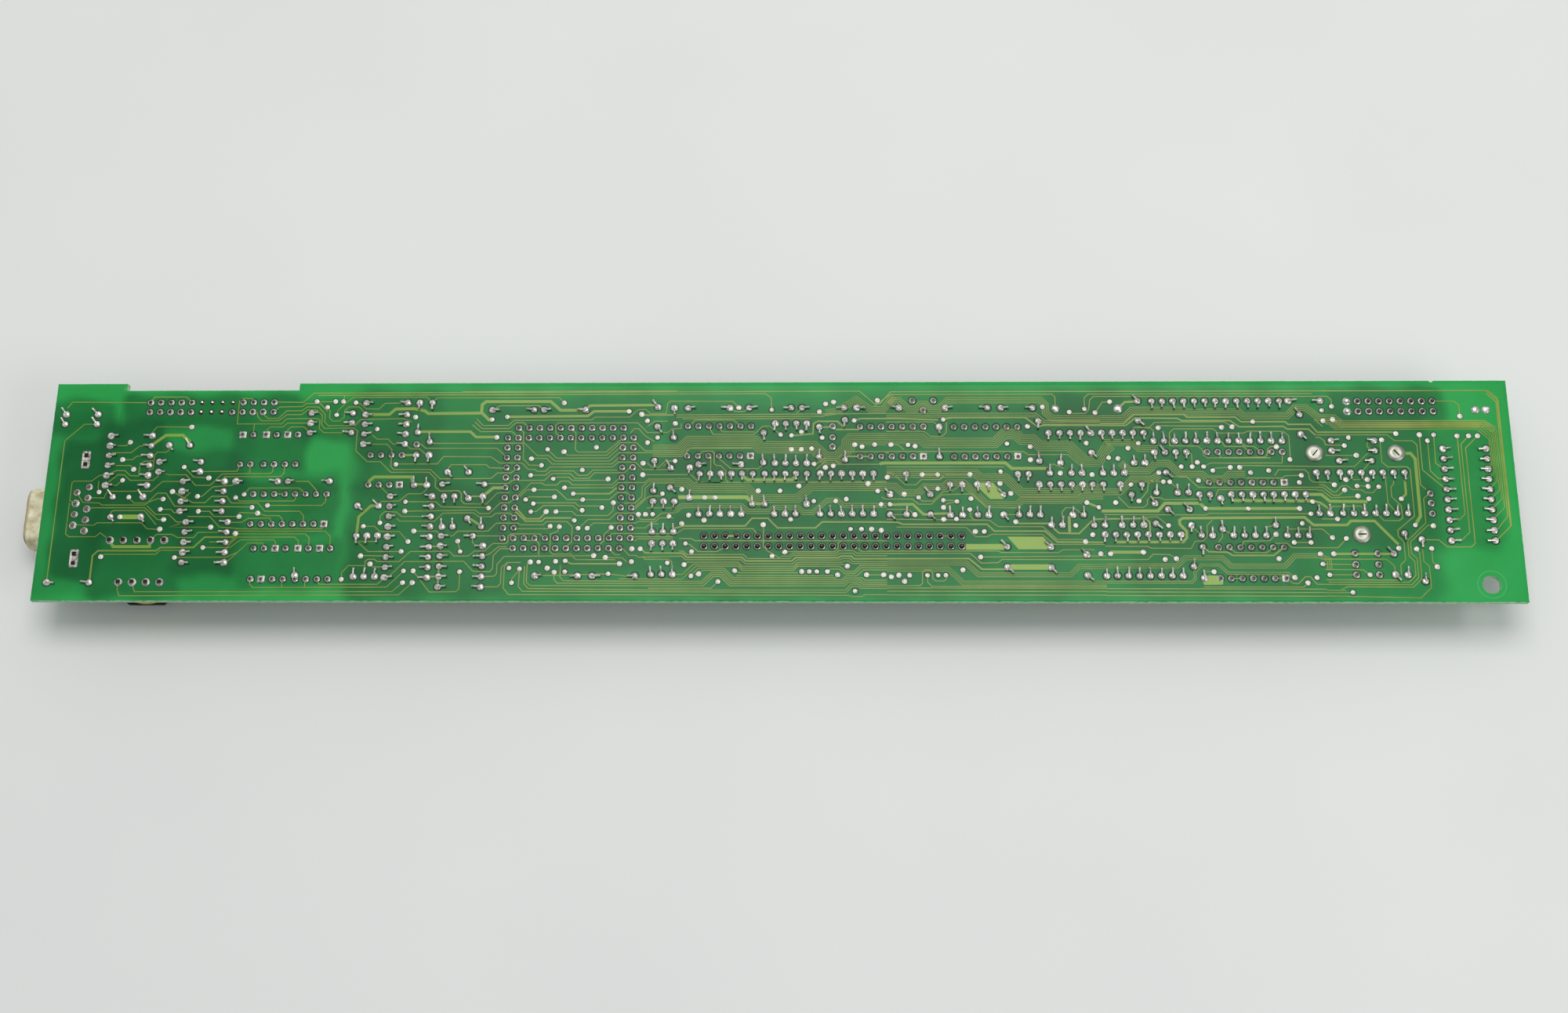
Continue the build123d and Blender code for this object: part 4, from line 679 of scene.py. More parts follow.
# Bundles: each row opens with the number of tracks, and its path is the rearmost track's.
bundles = paths_with([
    [4, 1885, 480, 1910, 484, 1960, 516, 1997, 489, 2022, 489, 2044, 520], [7, 1470, 390.5, 1529, 390.5,
    1551, 413, 1722, 413, 1736, 399, 1863, 399, 1893, 370, 1907, 370, 1926, 389, 1926, 404, 1941, 419,
    2032, 419], [5, 1525, 304.5, 1560, 304.5, 1575, 289.5, 1704, 289.5, 1730, 264, 1816, 264, 1849, 294,
    2032, 294], [3, 1525, 230, 1530, 230, 1540, 241, 1689, 241, 1703, 227, 1752, 227, 1762, 237,
    1822, 237, 1836, 224, 1855, 224, 1889, 255, 1915, 256, 1932, 242, 2032, 242], [4, 2032, 493.7,
    2048, 512, 2066, 512, 2089, 489, 2099, 489, 2112, 502, 2131, 502, 2143, 490, 2156, 490, 2178, 512,
    2406, 512, 2422, 496, 2422, 476, 2433, 465, 2545, 463.2], [6, 2032, 419, 2120, 419, 2132, 407,
    2287, 407, 2311, 430, 2346, 430, 2361, 415, 2388, 415, 2404, 399, 2473, 399, 2513, 359, 2530, 359,
    2546, 385, 2560, 399], [5, 2032, 327, 2248, 327, 2260, 316, 2319, 316, 2356, 279, 2475, 279,
    2490, 290, 2545, 290], [4, 2032, 293, 2055, 293, 2073, 276, 2105, 276, 2120, 291, 2165, 291,
    2175, 301, 2218, 301, 2274, 246, 2338, 246, 2350, 257, 2485, 257, 2495, 267, 2545, 267.8],
    [3, 2032, 99, 2220, 99, 2249, 70, 2460, 70, 2481, 91, 2545, 90.2], [3, 2032, 84, 2178, 84, 2212, 50,
    2545, 50], [4, 2545, 464, 2597, 464, 2619, 486, 2750, 486, 2757, 480, 2880, 481, 2890, 470, 2988, 470,
    3009, 491, 3040, 491, 3069, 465, 3105, 465, 3122, 450, 3459, 449, 3484, 432], [4, 2545, 399,
    2549, 403, 2622, 403, 2638, 387, 2680, 387], [4, 2594, 349, 2613, 331, 2651, 331, 2670, 350,
    2705, 350, 2733, 322, 2784, 322, 2796, 310, 2830, 310, 2842, 322, 2883, 322], [4, 2545, 278,
    2582, 278, 2614, 310, 2661, 310, 2676, 319], [3, 2545, 92, 2709, 92, 2729, 112, 2819, 112, 2839, 92,
    2960, 92, 2984, 117, 3046, 117, 3070, 105, 3070, 79], [2, 2545, 50, 2742, 50, 2749, 57, 2749, 74,
    2767, 92, 2810, 92, 2830, 72, 2970, 71, 2983, 59], [3, 2032, 471, 2393, 471, 2412, 452, 2545, 452],
])

# The straight bundles along the front edge and at the right end follow a rule of their own.
for v in (3.3, 2.5, 1.6):
    thin_routes += [[(203.2, v), (254.5, v)], [(254.5, v - 0.1), (305.5, v - 0.2)]]
fine_routes, corner_cut, pad_u = [], 2.6, 345.3
for i in range(6):
    bend_v, down_u, pad_v = 45.0 - 0.43 * i, 348.4 - 0.4 * i, 20.05 + pitch * i
    fine_routes.append([
        (307.5 + 0.5 * i, bend_v), (down_u - corner_cut, bend_v), (down_u, bend_v - corner_cut),
        (down_u, pad_v + down_u - pad_u), (pad_u, pad_v)])
bundle_step = 0.48
copper_height, sunk = 0.035, 0.02  # above the laminate's face, and below it
copper_slope = 0.03  # how far each flank of a track leans
height_step, depth_step = 0.0006, 0.001  # keep the faces of crossing tracks apart


def beside(path, shift):
    """The same path moved to its right-hand side by a distance, with mitred corners."""
    return path + shift * mitres(path)


def mitres(path):
    """Right-hand vector at each point of a path, long enough to keep a ribbon's width at a corner.

    With unit normals a and b of the two legs that meet, it is (a + b) / (1 + a.b).
    """
    legs = np.diff(path, axis=0)
    normals = np.stack([legs[:, 1], -legs[:, 0]], -1) / np.hypot(*legs.T)[:, None]
    before, after = np.vstack([normals[:1], normals]), np.vstack([normals, normals[-1:]])
    share = np.maximum(1 + (before * after).sum(1), 0.5)
    return (before + after) / share[:, None]


def ribbon(path, wide, height, depth=sunk):
    """Closed strip of trapezoid section along a path: points in board millimetres, and quads."""
    path = np.asarray(path, float)
    path = path[np.append(True, np.hypot(*np.diff(path, axis=0).T) > 0.05)]
    across = mitres(path)
    corners = [(-wide / 2, -depth), (copper_slope - wide / 2, height),
               (wide / 2 - copper_slope, height), (wide / 2, -depth)]
    points = np.stack([np.column_stack([path + shift * across, np.full(len(path), rise)])
                       for shift, rise in corners], 1).reshape(-1, 3)
    start = 4 * np.arange(len(path) - 1)
    faces = [np.stack([start + a, start + b, start + b + 4, start + a + 4], -1)
             for a, b in ((0, 1), (1, 2), (2, 3), (3, 0))]
    last = 4 * (len(path) - 1)
    faces.append(np.array([[3, 2, 1, 0], [last, last + 1, last + 2, last + 3]]))
    return points, np.concatenate(faces)


def joined(pieces):
    """One set of points and quads from many."""
    offsets = np.cumsum([0] + [len(points) for points, _ in pieces[:-1]])
    return (np.concatenate([points for points, _ in pieces]),
            np.concatenate([faces + offset for (_, faces), offset in zip(pieces, offsets)]))


laid = [(route, thin) for route in thin_routes] + [(route, medium) for route in medium_routes] + broad_routes
laid += [(route, fine) for route in fine_routes]
for route, count in bundles:
    laid += [(beside(route, bundle_step * i), fine) for i in range(count)]
ribbons = [ribbon(route, wide, copper_height + height_step * (i % 9), sunk + depth_step * (i % 13))
           for i, (route, wide) in enumerate(laid)]
points, quads = joined(ribbons)
width_value = np.concatenate([np.full(len(strip), wide) for (strip, _), (_, wide) in zip(ribbons, laid)])

covered, tree, shader = new_material("masked_copper", colour(134, 150, 76), 0.2, Specular_IOR_Level=0.2)
width_read = node(tree, "ShaderNodeAttribute", attribute_name="wide")
span = node(tree, "ShaderNodeMapRange", clamp=True, from_min=fine, from_max=broad)
link(tree, width_read, "Fac", span, "Value")
patches = grouped(tree, uneven, size=120.0, detail=3.0)
olive = blended(tree, colour(128, 144, 60), colour(152, 164, 80), patches.outputs["Mask"])
olive = blended(tree, olive, colour(138, 170, 72), span.outputs["Result"])
# Tracks take a weaker share of the painted shade of the parts below.
below_read = node(tree, "ShaderNodeAttribute", attribute_name="shade")
eased = node(tree, "ShaderNodeMath", operation="MULTIPLY")
eased.inputs[1].default_value = 0.38  # tracks darken less than the mask beside them
link(tree, below_read, "Fac", eased, 0)
shaded = blended(tree, olive, colour(52, 74, 26), eased.outputs["Value"])
tree.links.new(shaded, shader.inputs["Base Color"])

# Copper left as whole areas instead of tracks.
pour_rise, pour_wide, pour_shade = 0.006, 1.2 * broad, 0.4
pours = paths_of([
    [2253, 294, 2253, 279, 2278, 253, 2307, 253, 2312, 256, 2300, 276, 2285, 294], [2218, 127, 2308, 127,
    2308, 141, 2218, 141], [2322, 78, 2413, 78, 2413, 91, 2322, 91], [2316, 159, 2342, 128, 2409, 128,
    2409, 148, 2400, 159], [2766, 53, 2772, 41, 2815, 42, 2817, 56, 2812, 64, 2769, 64],
])
pour_points, pour_faces = [], [quads]
for outline in pours:
    count, start = len(outline), len(points) + sum(len(p) for p in pour_points)
    pour_points.append(np.array([
        (u, v, height) for height in (-sunk, copper_height + pour_rise) for u, v in outline]))
    ring = start + np.arange(count)
    pour_faces += [ring[None, ::-1], ring[None] + count,
                   np.stack([ring, np.roll(ring, -1), np.roll(ring, -1) + count, ring + count], -1)]
points = np.concatenate([points, *pour_points])
width_value = np.append(width_value, np.full(len(points) - len(width_value), pour_wide))
# Pours take a smaller share of the same painted shade.
darkness = np.where(width_value > broad, pour_shade, 1.0) * shade_below(*points[:, :2].T)
build("tracks", on_board(*points.T), pour_faces, covered, "laminate",
      values={"wide": width_value, "shade": darkness})

# Step in the mask round the screw hole, painted a little paler than the mask as a painted highlight on the
# step.
washer_radius, washer_sides, washer_width = 3.3, 48, 0.22
around = np.linspace(0, 2 * np.pi, washer_sides + 1)
circle = np.column_stack([screw_u + washer_radius * np.cos(around), screw_v + washer_radius * np.sin(around)])
points, quads = ribbon(circle, washer_width, 0.6 * copper_height)
ring_highlight_mask, _, _ = new_material("ring_highlight_mask", colour(74, 172, 100), 0.2, Specular_IOR_Level=0.3)
lay("washer_mark", points, quads, ring_highlight_mask, "laminate")


# ---------------------------------------------------------------------------------- through vias
# Plated holes that join the two faces, filled with solder to a low dome 1.3 mm across.
vias = np.reshape([
    196, 400, 182, 355, 212, 330, 188, 302, 134, 272, 343, 439, 335, 336, 398, 308, 313, 273, 375, 261,
    292, 254, 208, 259, 288, 228, 381, 223, 299, 202, 192, 209, 292, 178, 415, 183, 481, 210, 476, 167,
    401, 132, 335, 107, 157, 109, 488, 266, 468, 258, 510, 233, 547, 238, 525, 218, 645, 505, 691, 505,
    710, 505, 672, 490, 696, 470, 741, 502, 890, 464, 798, 433, 850, 342, 880, 247, 880, 223, 822, 194,
    783, 185, 905, 173, 893, 147, 782, 111, 878, 122, 806, 91, 887, 74, 910, 74, 887, 45, 910, 45,
    740, 53, 1012, 148, 1019, 122, 1021, 72, 1077, 457, 1114, 464, 1251, 500, 1410, 478, 1441, 470,
    1455, 453, 1091, 411, 1457, 397, 1523, 446, 1481, 410, 1081, 231, 1138, 81, 1163, 79, 1146, 45,
    1188, 96, 1208, 96, 1248, 98, 1271, 99, 1229, 81, 1246, 71, 1271, 72, 1338, 112, 1366, 107, 1400, 92,
    1428, 97, 1374, 67, 1513, 94, 1428, 129, 1448, 129, 1216, 380, 1256, 374, 1334, 385, 1178, 356,
    1203, 339, 1302, 327, 1178, 314, 1233, 305, 1365, 304, 1188, 277, 1261, 282, 1283, 267, 1238, 259,
    1169, 252, 1306, 252, 1188, 242, 1183, 222, 1220, 222, 1243, 222, 1306, 225, 1353, 232, 1380, 244,
    1288, 200, 1231, 185, 1253, 184, 1298, 180, 1320, 180, 1377, 182, 1448, 344, 1525, 350, 1448, 315,
    1497, 267, 1441, 215, 1458, 215, 1475, 215, 1514, 210, 1676, 487, 1756, 481, 1886, 496, 1905, 501,
    1871, 476, 2011, 505, 1778, 417, 1804, 415, 1828, 424, 1878, 409, 1955, 453, 1804, 379, 1828, 379,
    1853, 381, 1859, 342, 1886, 333, 1905, 337, 1956, 391, 1974, 386, 2004, 391, 2043, 391, 1543, 278,
    1598, 257, 1623, 257, 1726, 274, 1778, 274, 1823, 286, 1859, 248, 1911, 248, 1936, 253, 1988, 292,
    2011, 273, 2034, 308, 1561, 213, 1598, 200, 1545, 192, 1739, 189, 1804, 202, 2019, 240, 2040, 240,
    1946, 178, 1972, 178, 1996, 178, 2019, 175, 1555, 142, 1570, 122, 1761, 111, 1791, 121, 1553, 90,
    1570, 62, 1588, 67, 1673, 75, 1634, 48, 1831, 73, 1849, 73, 1867, 73, 1892, 73, 1916, 65, 1939, 86,
    1984, 65, 1957, 25, 2024, 65, 2042, 60, 2060, 64, 2085, 64, 2073, 49, 2127, 64, 2152, 64, 2170, 64,
    2408, 487, 2472, 474, 2509, 482, 2534, 472, 2169, 455, 2371, 437, 2084, 390, 2101, 387, 2321, 393,
    2376, 385, 2376, 352, 2510, 394, 2446, 318, 2521, 314, 2117, 315, 2154, 315, 2231, 315, 2304, 322,
    2302, 292, 2327, 267, 2074, 265, 2108, 257, 2154, 279, 2167, 250, 2199, 247, 2232, 254, 2167, 232,
    2229, 227, 2099, 214, 2167, 202, 2197, 203, 2337, 196, 2241, 172, 2262, 172, 2252, 109, 2210, 77,
    2506, 244, 2534, 232, 2478, 187, 2517, 164, 2500, 147, 2534, 117, 2570, 500, 2683, 433, 2834, 434,
    2859, 435, 2909, 448, 2634, 394, 2609, 381, 2562, 357, 2584, 355, 2961, 384, 2991, 352, 2733, 334,
    2759, 334, 2772, 345, 2786, 334, 2679, 319, 2807, 324, 2849, 332, 2871, 332, 2896, 319, 2939, 324,
    3015, 312, 3009, 294, 2689, 296, 2704, 296, 2772, 299, 2612, 289, 2574, 244, 2629, 248, 2696, 187,
    2885, 229, 3005, 229, 3031, 216, 3009, 192, 2785, 229, 3037, 246, 2946, 165, 2987, 145, 3026, 145,
    2949, 105, 3046, 117, 3050, 92, 2796, 73, 2983, 59, 3034, 59, 3012, 46, 3064, 66, 2684, 103,
    2710, 105, 2634, 121, 2557, 117, 3099, 487, 3075, 477, 3076, 450, 3099, 453, 3133, 407, 3122, 387,
    3211, 401, 3246, 417, 3301, 414, 3319, 399, 3335, 414, 3390, 411, 3417, 411, 3438, 411, 3401, 461,
    3148, 362, 3119, 301, 3169, 301, 3144, 285, 3170, 284, 3195, 283, 3091, 288, 3114, 275, 3144, 260,
    3169, 253, 3245, 253, 3092, 203, 3272, 188, 3314, 186, 3077, 157, 3109, 155, 3229, 131, 3270, 129,
    3305, 130, 3077, 117, 3314, 85, 3157, 66, 3114, 23,
], (-1, 2)) / 10
via_profile = ((0.66, -0.02), (0.62, 0.06), (0.40, 0.13), (0.16, 0.15))
via_sides = 12


def turned(profile, sides):
    """Closed surface of revolution: points r (cos a, sin a) at height z for each (r, z), and its quads."""
    profile = np.asarray(profile, float)
    angle = np.linspace(0, 2 * np.pi, sides, endpoint=False)
    points = np.stack([profile[:, :1] * np.cos(angle), profile[:, :1] * np.sin(angle),
                       np.repeat(profile[:, 1:], sides, 1)], -1).reshape(-1, 3)
    ring = np.arange(len(profile) - 1)[:, None] * sides
    step = np.arange(sides)[None, :]
    after = (step + 1) % sides
    quads = np.stack([ring + step, ring + after, ring + after + sides, ring + step + sides], -1)
    end = (len(profile) - 1) * sides
    half = np.arange(sides // 2 - 1)
    caps = np.stack([end + half, end + half + 1, end + sides - 2 - half, end + sides - 1 - half], -1)
    floor_caps = np.stack([half + 1, half, sides - 1 - half, sides - 2 - half], -1)
    return points, np.concatenate([quads.reshape(-1, 4), caps, floor_caps])


def stamped(shape, places, turns=0.0, stretch=1.0):
    """Copies of one shape, turned about the vertical, stretched sideways and set at places."""
    points, faces = shape
    places = np.asarray(places, float)
    turns, stretch = np.broadcast_to(turns, len(places)), np.broadcast_to(stretch, len(places))
    cosine, sine = (np.cos(turns) * stretch)[:, None], (np.sin(turns) * stretch)[:, None]
    u = places[:, :1] + points[None, :, 0] * cosine - points[None, :, 1] * sine
    v = places[:, 1:2] + points[None, :, 0] * sine + points[None, :, 1] * cosine
    height = np.broadcast_to(points[None, :, 2], u.shape)
    offsets = (np.arange(len(places)) * len(points))[:, None, None]
    return np.stack([u, v, height], -1).reshape(-1, 3), (faces[None] + offsets).reshape(-1, faces.shape[1])


solder = finish("solder", colour(116, 114, 108), colour(196, 193, 186), (0.3, 0.55), 0.85, patch=1800.0,
                fine=4500.0, bump=0.9, height=0.00004)
points, quads = stamped(turned(via_profile, via_sides), vias, 0.0, rng.uniform(0.9, 1.06, len(vias)))
pale_solder = finish("pale_solder", colour(170, 167, 156), colour(228, 225, 214), (0.35, 0.55), 0.3,
                     patch=1800.0, fine=4500.0, bump=0.9, height=0.00004)
lay("filled_vias", points, quads, pale_solder, "solder")


# Rings of dark laminate show between the mask's edge and each pad: bare laminate, darkened further as painted
# shadow round the joints.
via_opening, joint_opening, bent_opening = 0.82, 1.08, 1.12
bare_laminate_and_shadow, _, _ = new_material("bare_laminate_and_shadow", colour(18, 58, 32), 0.5, Specular_IOR_Level=0.2)
ring_profile = ((1.0, -0.02), (1.0, 0.018), (0.5, 0.02))


def shaded_mask_openings(name, places, radius):
    """Low dark discs under joints, a little wider than their pads: bare laminate with painted shadow."""
    places = np.array(places, float)[:, :2]
    points, quads = stamped(turned(ring_profile, via_sides), places, 0.0, np.full(len(places), radius))
    lay(name, points, quads, bare_laminate_and_shadow, "laminate")


shaded_mask_openings("via_shaded_openings", vias, via_opening)


# ---------------------------------------------------------------------------------- wave joints
# Bright solder joints of the leads that come straight through: a concave skirt that climbs
# the lead, with the lead's cut end standing out in a painted dark reflection.
straight_profile = ((0.88, -0.02), (0.80, 0.05), (0.56, 0.16), (0.42, 0.36), (0.36, 0.52), (0.30, 0.60),
                    (0.12, 0.62))
straight_sides, full_turn = 12, 6.28
tip_rings = 3  # rings at the top that belong to the cut end
resistor_span, diode_span, radial_span = 10.16, 7.62, 5.08


def row_of(u, v, count, step_u=pitch, step_v=0.0):
    """Evenly spaced places along a line."""
    return [(u + step_u * i, v + step_v * i) for i in range(count)]


connector_pins = row_of(10.87, 28.45, 5, 0.0, -2.77) + row_of(8.03, 27.07, 4, 0.0, -2.77)
header_small_pins = (row_of(23.55, 50.3, 5) + row_of(46.41, 50.3, 4)
                     + row_of(23.55, 47.8, 5) + row_of(43.87, 47.8, 5))
unsoldered_pins = row_of(36.25, 50.3, 4) + row_of(36.25, 47.8, 3)
header_large_pins = row_of(159.9, 16.1, 25) + row_of(159.9, 13.55, 25)
strip_pins = row_of(316.1, 50.0, 8) + row_of(316.1, 47.4, 8)
transformer_pins = row_of(17.4, 15.0, 5, 3.3) + row_of(20.65, 4.55, 4, 3.3)
socket_u, socket_v, socket_rows = 111.87, 43.5, 13
socket_pins = []
for i in range(socket_rows):
    for j in range(socket_rows):
        edge = min(i, j, socket_rows - 1 - i, socket_rows - 1 - j)
        corner = min(i, socket_rows - 1 - i) == 0 and min(j, socket_rows - 1 - j) == 0
        if edge < 2 and not corner:
            socket_pins.append((socket_u + pitch * i, socket_v - pitch * j))
chip_rows = ((51.0, 19.1, 26.65, 8), (78.7, 29.0, 36.6, 4), (155.4, 36.25, 43.9, 7), (196.9, 36.1, 43.7, 7),
             (219.4, 36.0, 43.6, 7), (281.0, 5.7, 13.3, 7), (279.6, 29.4, 37.1, 8))
chip_pins = []
for u, front_v, rear_v, count in chip_rows:
    chip_pins += row_of(u, front_v, count) + row_of(u, rear_v, count)
opto_pins, opto_span = [], 7.65
for u, front_v in ((47.06, 34.25), (52.8, 34.25), (58.0, 34.25), (52.3, 5.35), (57.5, 5.35), (63.0, 5.35),
                   (68.2, 5.35)):
    opto_pins += row_of(u, front_v, 2) + row_of(u, front_v + opto_span, 2)
transistor_pins = [(190.3, 38.6), (190.3, 41.0), (190.3, 43.8), (331.4, 21.6), (331.4, 24.2), (331.4, 26.6),
                   (312.6, 6.6), (312.6, 9.1), (312.6, 11.8), (317.9, 6.6), (317.9, 9.1), (317.9, 11.8),
                   (209.5, 50.4), (214.6, 50.4), (212.1, 47.9), (89.75, 39.3)]


def tipped(rings, sides, tips):
    """Attribute that is 1 on the last rings of a turned shape and 0 below them."""
    return np.repeat(np.arange(rings) >= rings - tips, sides).astype(float)


joint, tree, shader = new_material("wave_solder", colour(190, 186, 180), 0.25, 0.7)
tip_read = node(tree, "ShaderNodeAttribute", attribute_name="tip")
patches = grouped(tree, uneven, size=1500.0)
silver = blended(tree, colour(164, 161, 152), colour(236, 234, 226), patches.outputs["Mask"])
# The tips' dark is painted: a dark reflection on the cut ends.
painted_dark_tip = blended(tree, silver, colour(42, 42, 32), tip_read.outputs["Fac"])
tree.links.new(painted_dark_tip, shader.inputs["Base Color"])
glossed(tree, shader, patches, 0.18, 0.4)
grained(tree, shader, size=5000.0, strength=0.5)


def wave_joints(name, places, girth, tips, profile=straight_profile, inverse=False):
    """Straight joints of one girth, with tips in a painted dark reflection or, if inverse, with bright tips
    on skirts in the same painted dark.
    """
    turns = rng.uniform(0, full_turn, len(places))
    girths = girth * rng.uniform(0.93, 1.08, len(places))
    points, quads = stamped(turned(profile, straight_sides), places, turns, girths)
    tip = np.tile(tipped(len(profile), straight_sides, tips), len(places))
    tip = 1 - tip if inverse else tip
    lay(name, points, quads, joint, "solder", values={"tip": tip})


cut_flush = [(r, min(z, 0.5)) for r, z in straight_profile]
bare_end = ((0.70, -0.02), (0.62, 0.03), (0.31, 0.04), (0.29, 0.40), (0.1, 0.45))
wave_joints("connector_joints", connector_pins, 1.1, 0, cut_flush)
wave_joints("header_small_joints", header_small_pins, 0.95, tip_rings)
wave_joints("unsoldered_ends", unsoldered_pins, 1.0, 2, bare_end, inverse=True)
wave_joints("header_large_joints", header_large_pins, 0.95, tip_rings + 2)
wave_joints("strip_joints", strip_pins, 0.95, tip_rings + 1)
wave_joints("strip_end_joints", [(313.5, 50.0), (313.5, 47.4)], 1.1, 0)
wave_joints("transformer_joints", transformer_pins, 1.15, 0)
wave_joints("socket_joints", socket_pins, 0.95, tip_rings)
wave_joints("chip_joints", chip_pins, 0.9, tip_rings - 1)
wave_joints("opto_joints", opto_pins, 0.9, tip_rings - 1)
wave_joints("transistor_joints", transistor_pins, 0.95, tip_rings - 1)

straight_pins = header_small_pins + header_large_pins + strip_pins + transformer_pins + socket_pins
straight_pins += connector_pins + chip_pins + opto_pins + transistor_pins
shaded_mask_openings("straight_shaded_openings", straight_pins, joint_opening)

# The jumper's two leads and the big capacitor's end in wide, low domes.
dome_profile = ((1.0, -0.02), (0.96, 0.14), (0.8, 0.34), (0.52, 0.48), (0.2, 0.54))
wave_joints("jumper_joints", [(343.9, 47.7), (346.4, 47.7)], 1.0, 0, dome_profile)
wave_joints("electrolytic_joints", [(243.9, 48.2), (258.9, 48.2)], 1.1, 0, dome_profile)


# ---------------------------------------------------------------------------------- bent joints
# Leads of the small parts, bent over before soldering: a round blob of solder, out of which
# the clipped wire points along the board and rises a little.
resistors_lengthwise = [
    (14.7, 28.95, 6), (27.3, 32.4, 2), (33.55, 22.3, 4), (35.3, 9.45, 5), (3.4, 4.5, 1),
    (46.5, 29.9, 1), (59.1, 29.9, 1), (63.4, 42.4, 3), (76.7, 39.45, 4), (76.7, 50.1, 1),
    (84.2, 5.75, 9), (96.6, 29.15, 1), (97.1, 3.45, 5), (107.7, 48.2, 1), (120.3, 48.2, 1),
    (120.0, 6.2, 1), (133.6, 6.2, 1), (155.3, 48.6, 1), (170.1, 48.6, 1), (182.9, 48.6, 1),
    (196.1, 48.6, 1), (217.4, 48.5, 1), (158.2, 34.1, 1), (309.1, 37.4, 2), (335.3, 14.95, 10),
]
resistors_crosswise = [
    (76.8, 6.0, 3), (176.5, 34.4, 4), (158.5, 21.6, 5), (176.5, 21.6, 3), (187.4, 21.6, 6),
    (193.3, 35.3, 1), (207.9, 21.5, 1), (234.5, 21.4, 2), (239.7, 34.9, 1), (242.1, 31.85, 1),
    (247.2, 31.85, 2), (254.7, 31.85, 3), (242.1, 18.8, 2), (252.1, 18.8, 2), (258.7, 18.8, 1),
    (263.8, 18.8, 1), (254.6, 6.3, 8), (267.1, 26.9, 1), (272.15, 26.9, 2), (267.0, 39.95, 13),
    (277.2, 16.25, 2), (284.7, 16.25, 4), (297.2, 16.25, 3), (274.95, 8.55, 1), (305.1, 21.7, 2),
    (310.6, 21.7, 4), (320.7, 21.7, 3), (324.5, 6.55, 1), (328.4, 5.05, 1), (92.9, 40.0, 1),
]
diodes_lengthwise = [(97.1, 16.1, 1), (230.8, 48.5, 1), (299.6, 50.1, 1), (310.7, 34.85, 1)]
diodes_crosswise = [
    (89.8, 28.95, 1), (92.9, 28.95, 1), (97.2, 18.45, 2), (106.6, 18.45, 1), (147.5, 27.45, 1),
    (147.5, 17.15, 3), (147.5, 6.6, 3), (156.1, 25.7, 1), (171.2, 24.1, 1), (174.1, 24.1, 1),
    (184.2, 24.1, 1), (173.7, 34.6, 1), (187.1, 36.05, 1), (215.9, 36.0, 1), (218.3, 21.35, 1),
    (221.2, 21.35, 1), (224.8, 21.35, 2), (239.5, 21.35, 1), (247.2, 21.35, 2), (244.7, 34.4, 1),
    (262.2, 34.4, 2), (261.25, 18.8, 1), (282.2, 17.8, 1), (294.7, 18.75, 1), (277.3, 5.75, 1),
    (89.8, 42.45, 1), (152.0, 41.0, 1),
]
dipped_lengthwise = [(29.25, 39.2), (76.5, 23.7), (97.7, 32.2), (269.65, 22.7)]
dipped_crosswise = [
    (16.9, 20.9), (24.25, 20.9), (103.15, 20.5), (151.5, 28.2), (204.0, 21.45), (213.6, 21.45),
    (230.9, 21.35), (231.5, 8.35), (241.75, 8.3), (250.15, 6.4), (252.2, 36.9), (263.6, 45.1),
    (269.65, 31.95), (266.65, 19.15), (302.1, 41.55), (321.6, 6.65), (148.0, 43.8),
]


def spread(entries, lengthwise):
    """First holes of every part in a list of rows: rows of lengthwise parts run across the board."""
    return [place for u, v, count in entries
            for place in row_of(u, v, count, 0.0 if lengthwise else pitch, pitch if lengthwise else 0.0)]


bent = []  # u, v and direction of the wire's end, in degrees from +u
for entries, span in ((resistors_lengthwise, resistor_span), (diodes_lengthwise, diode_span)):
    for u, v in spread(entries, True):
        bent += [(u, v, 0.0), (u + span, v, 180.0)]
for entries, span in ((resistors_crosswise, resistor_span), (diodes_crosswise, diode_span)):
    for u, v in spread(entries, False):
        bent += [(u, v, 90.0), (u, v + span, -90.0)]
for places, span_u, span_v in ((dipped_lengthwise, radial_span, 0.0), (dipped_crosswise, 0.0, radial_span)):
    for u, v in places:
        bent += [(u, v, -50.0), (u + span_u, v + span_v, 130.0)]
bent += [(2.98, 47.25, 130.0), (10.83, 47.25, 130.0), (2.98, 44.7, 130.0), (10.83, 44.7, 130.0),
         (62.8, 6.3, 90.0)]
bent = np.array(bent)
blob_profile = ((0.88, -0.02), (0.85, 0.08), (0.72, 0.21), (0.48, 0.32), (0.2, 0.38))
blob_sides = 10
wire_line = ((-0.3, 0.1), (0.3, 0.40), (1.1, 0.52), (2.0, 0.66))  # reach and height of the wire's axis
wire_radius, wire_sides, wire_scatter = 0.26, 8, 7  # the last in degrees
points, quads = stamped(turned(blob_profile, blob_sides), bent, rng.uniform(0, full_turn, len(bent)),
                        rng.uniform(0.9, 1.1, len(bent)))
lay("bent_joints", points, quads, joint, "solder", values={"tip": np.zeros(len(points))})


def tube(line, radius, sides):
    """Closed round tube along a line in the u-z plane: the circle at each point stands across the line.

    The circle's directions are v and the line's normal, so a point is p + r (sin a v + cos a n).
    """
    line = np.asarray(line, float)
    along = np.gradient(line, axis=0)
    along /= np.hypot(*along.T)[:, None]
    angle = np.linspace(0, 2 * np.pi, sides, endpoint=False)
    radius = np.broadcast_to(radius, len(line))[:, None]
    u = line[:, :1] - radius * np.cos(angle) * along[:, 1:]
    v = radius * np.sin(angle) + np.zeros((len(line), 1))
    z = line[:, 1:] + radius * np.cos(angle) * along[:, :1]
    _, faces = turned(np.zeros((len(line), 2)), sides)
    return np.stack([u, v, z], -1).reshape(-1, 3), faces[:, ::-1]


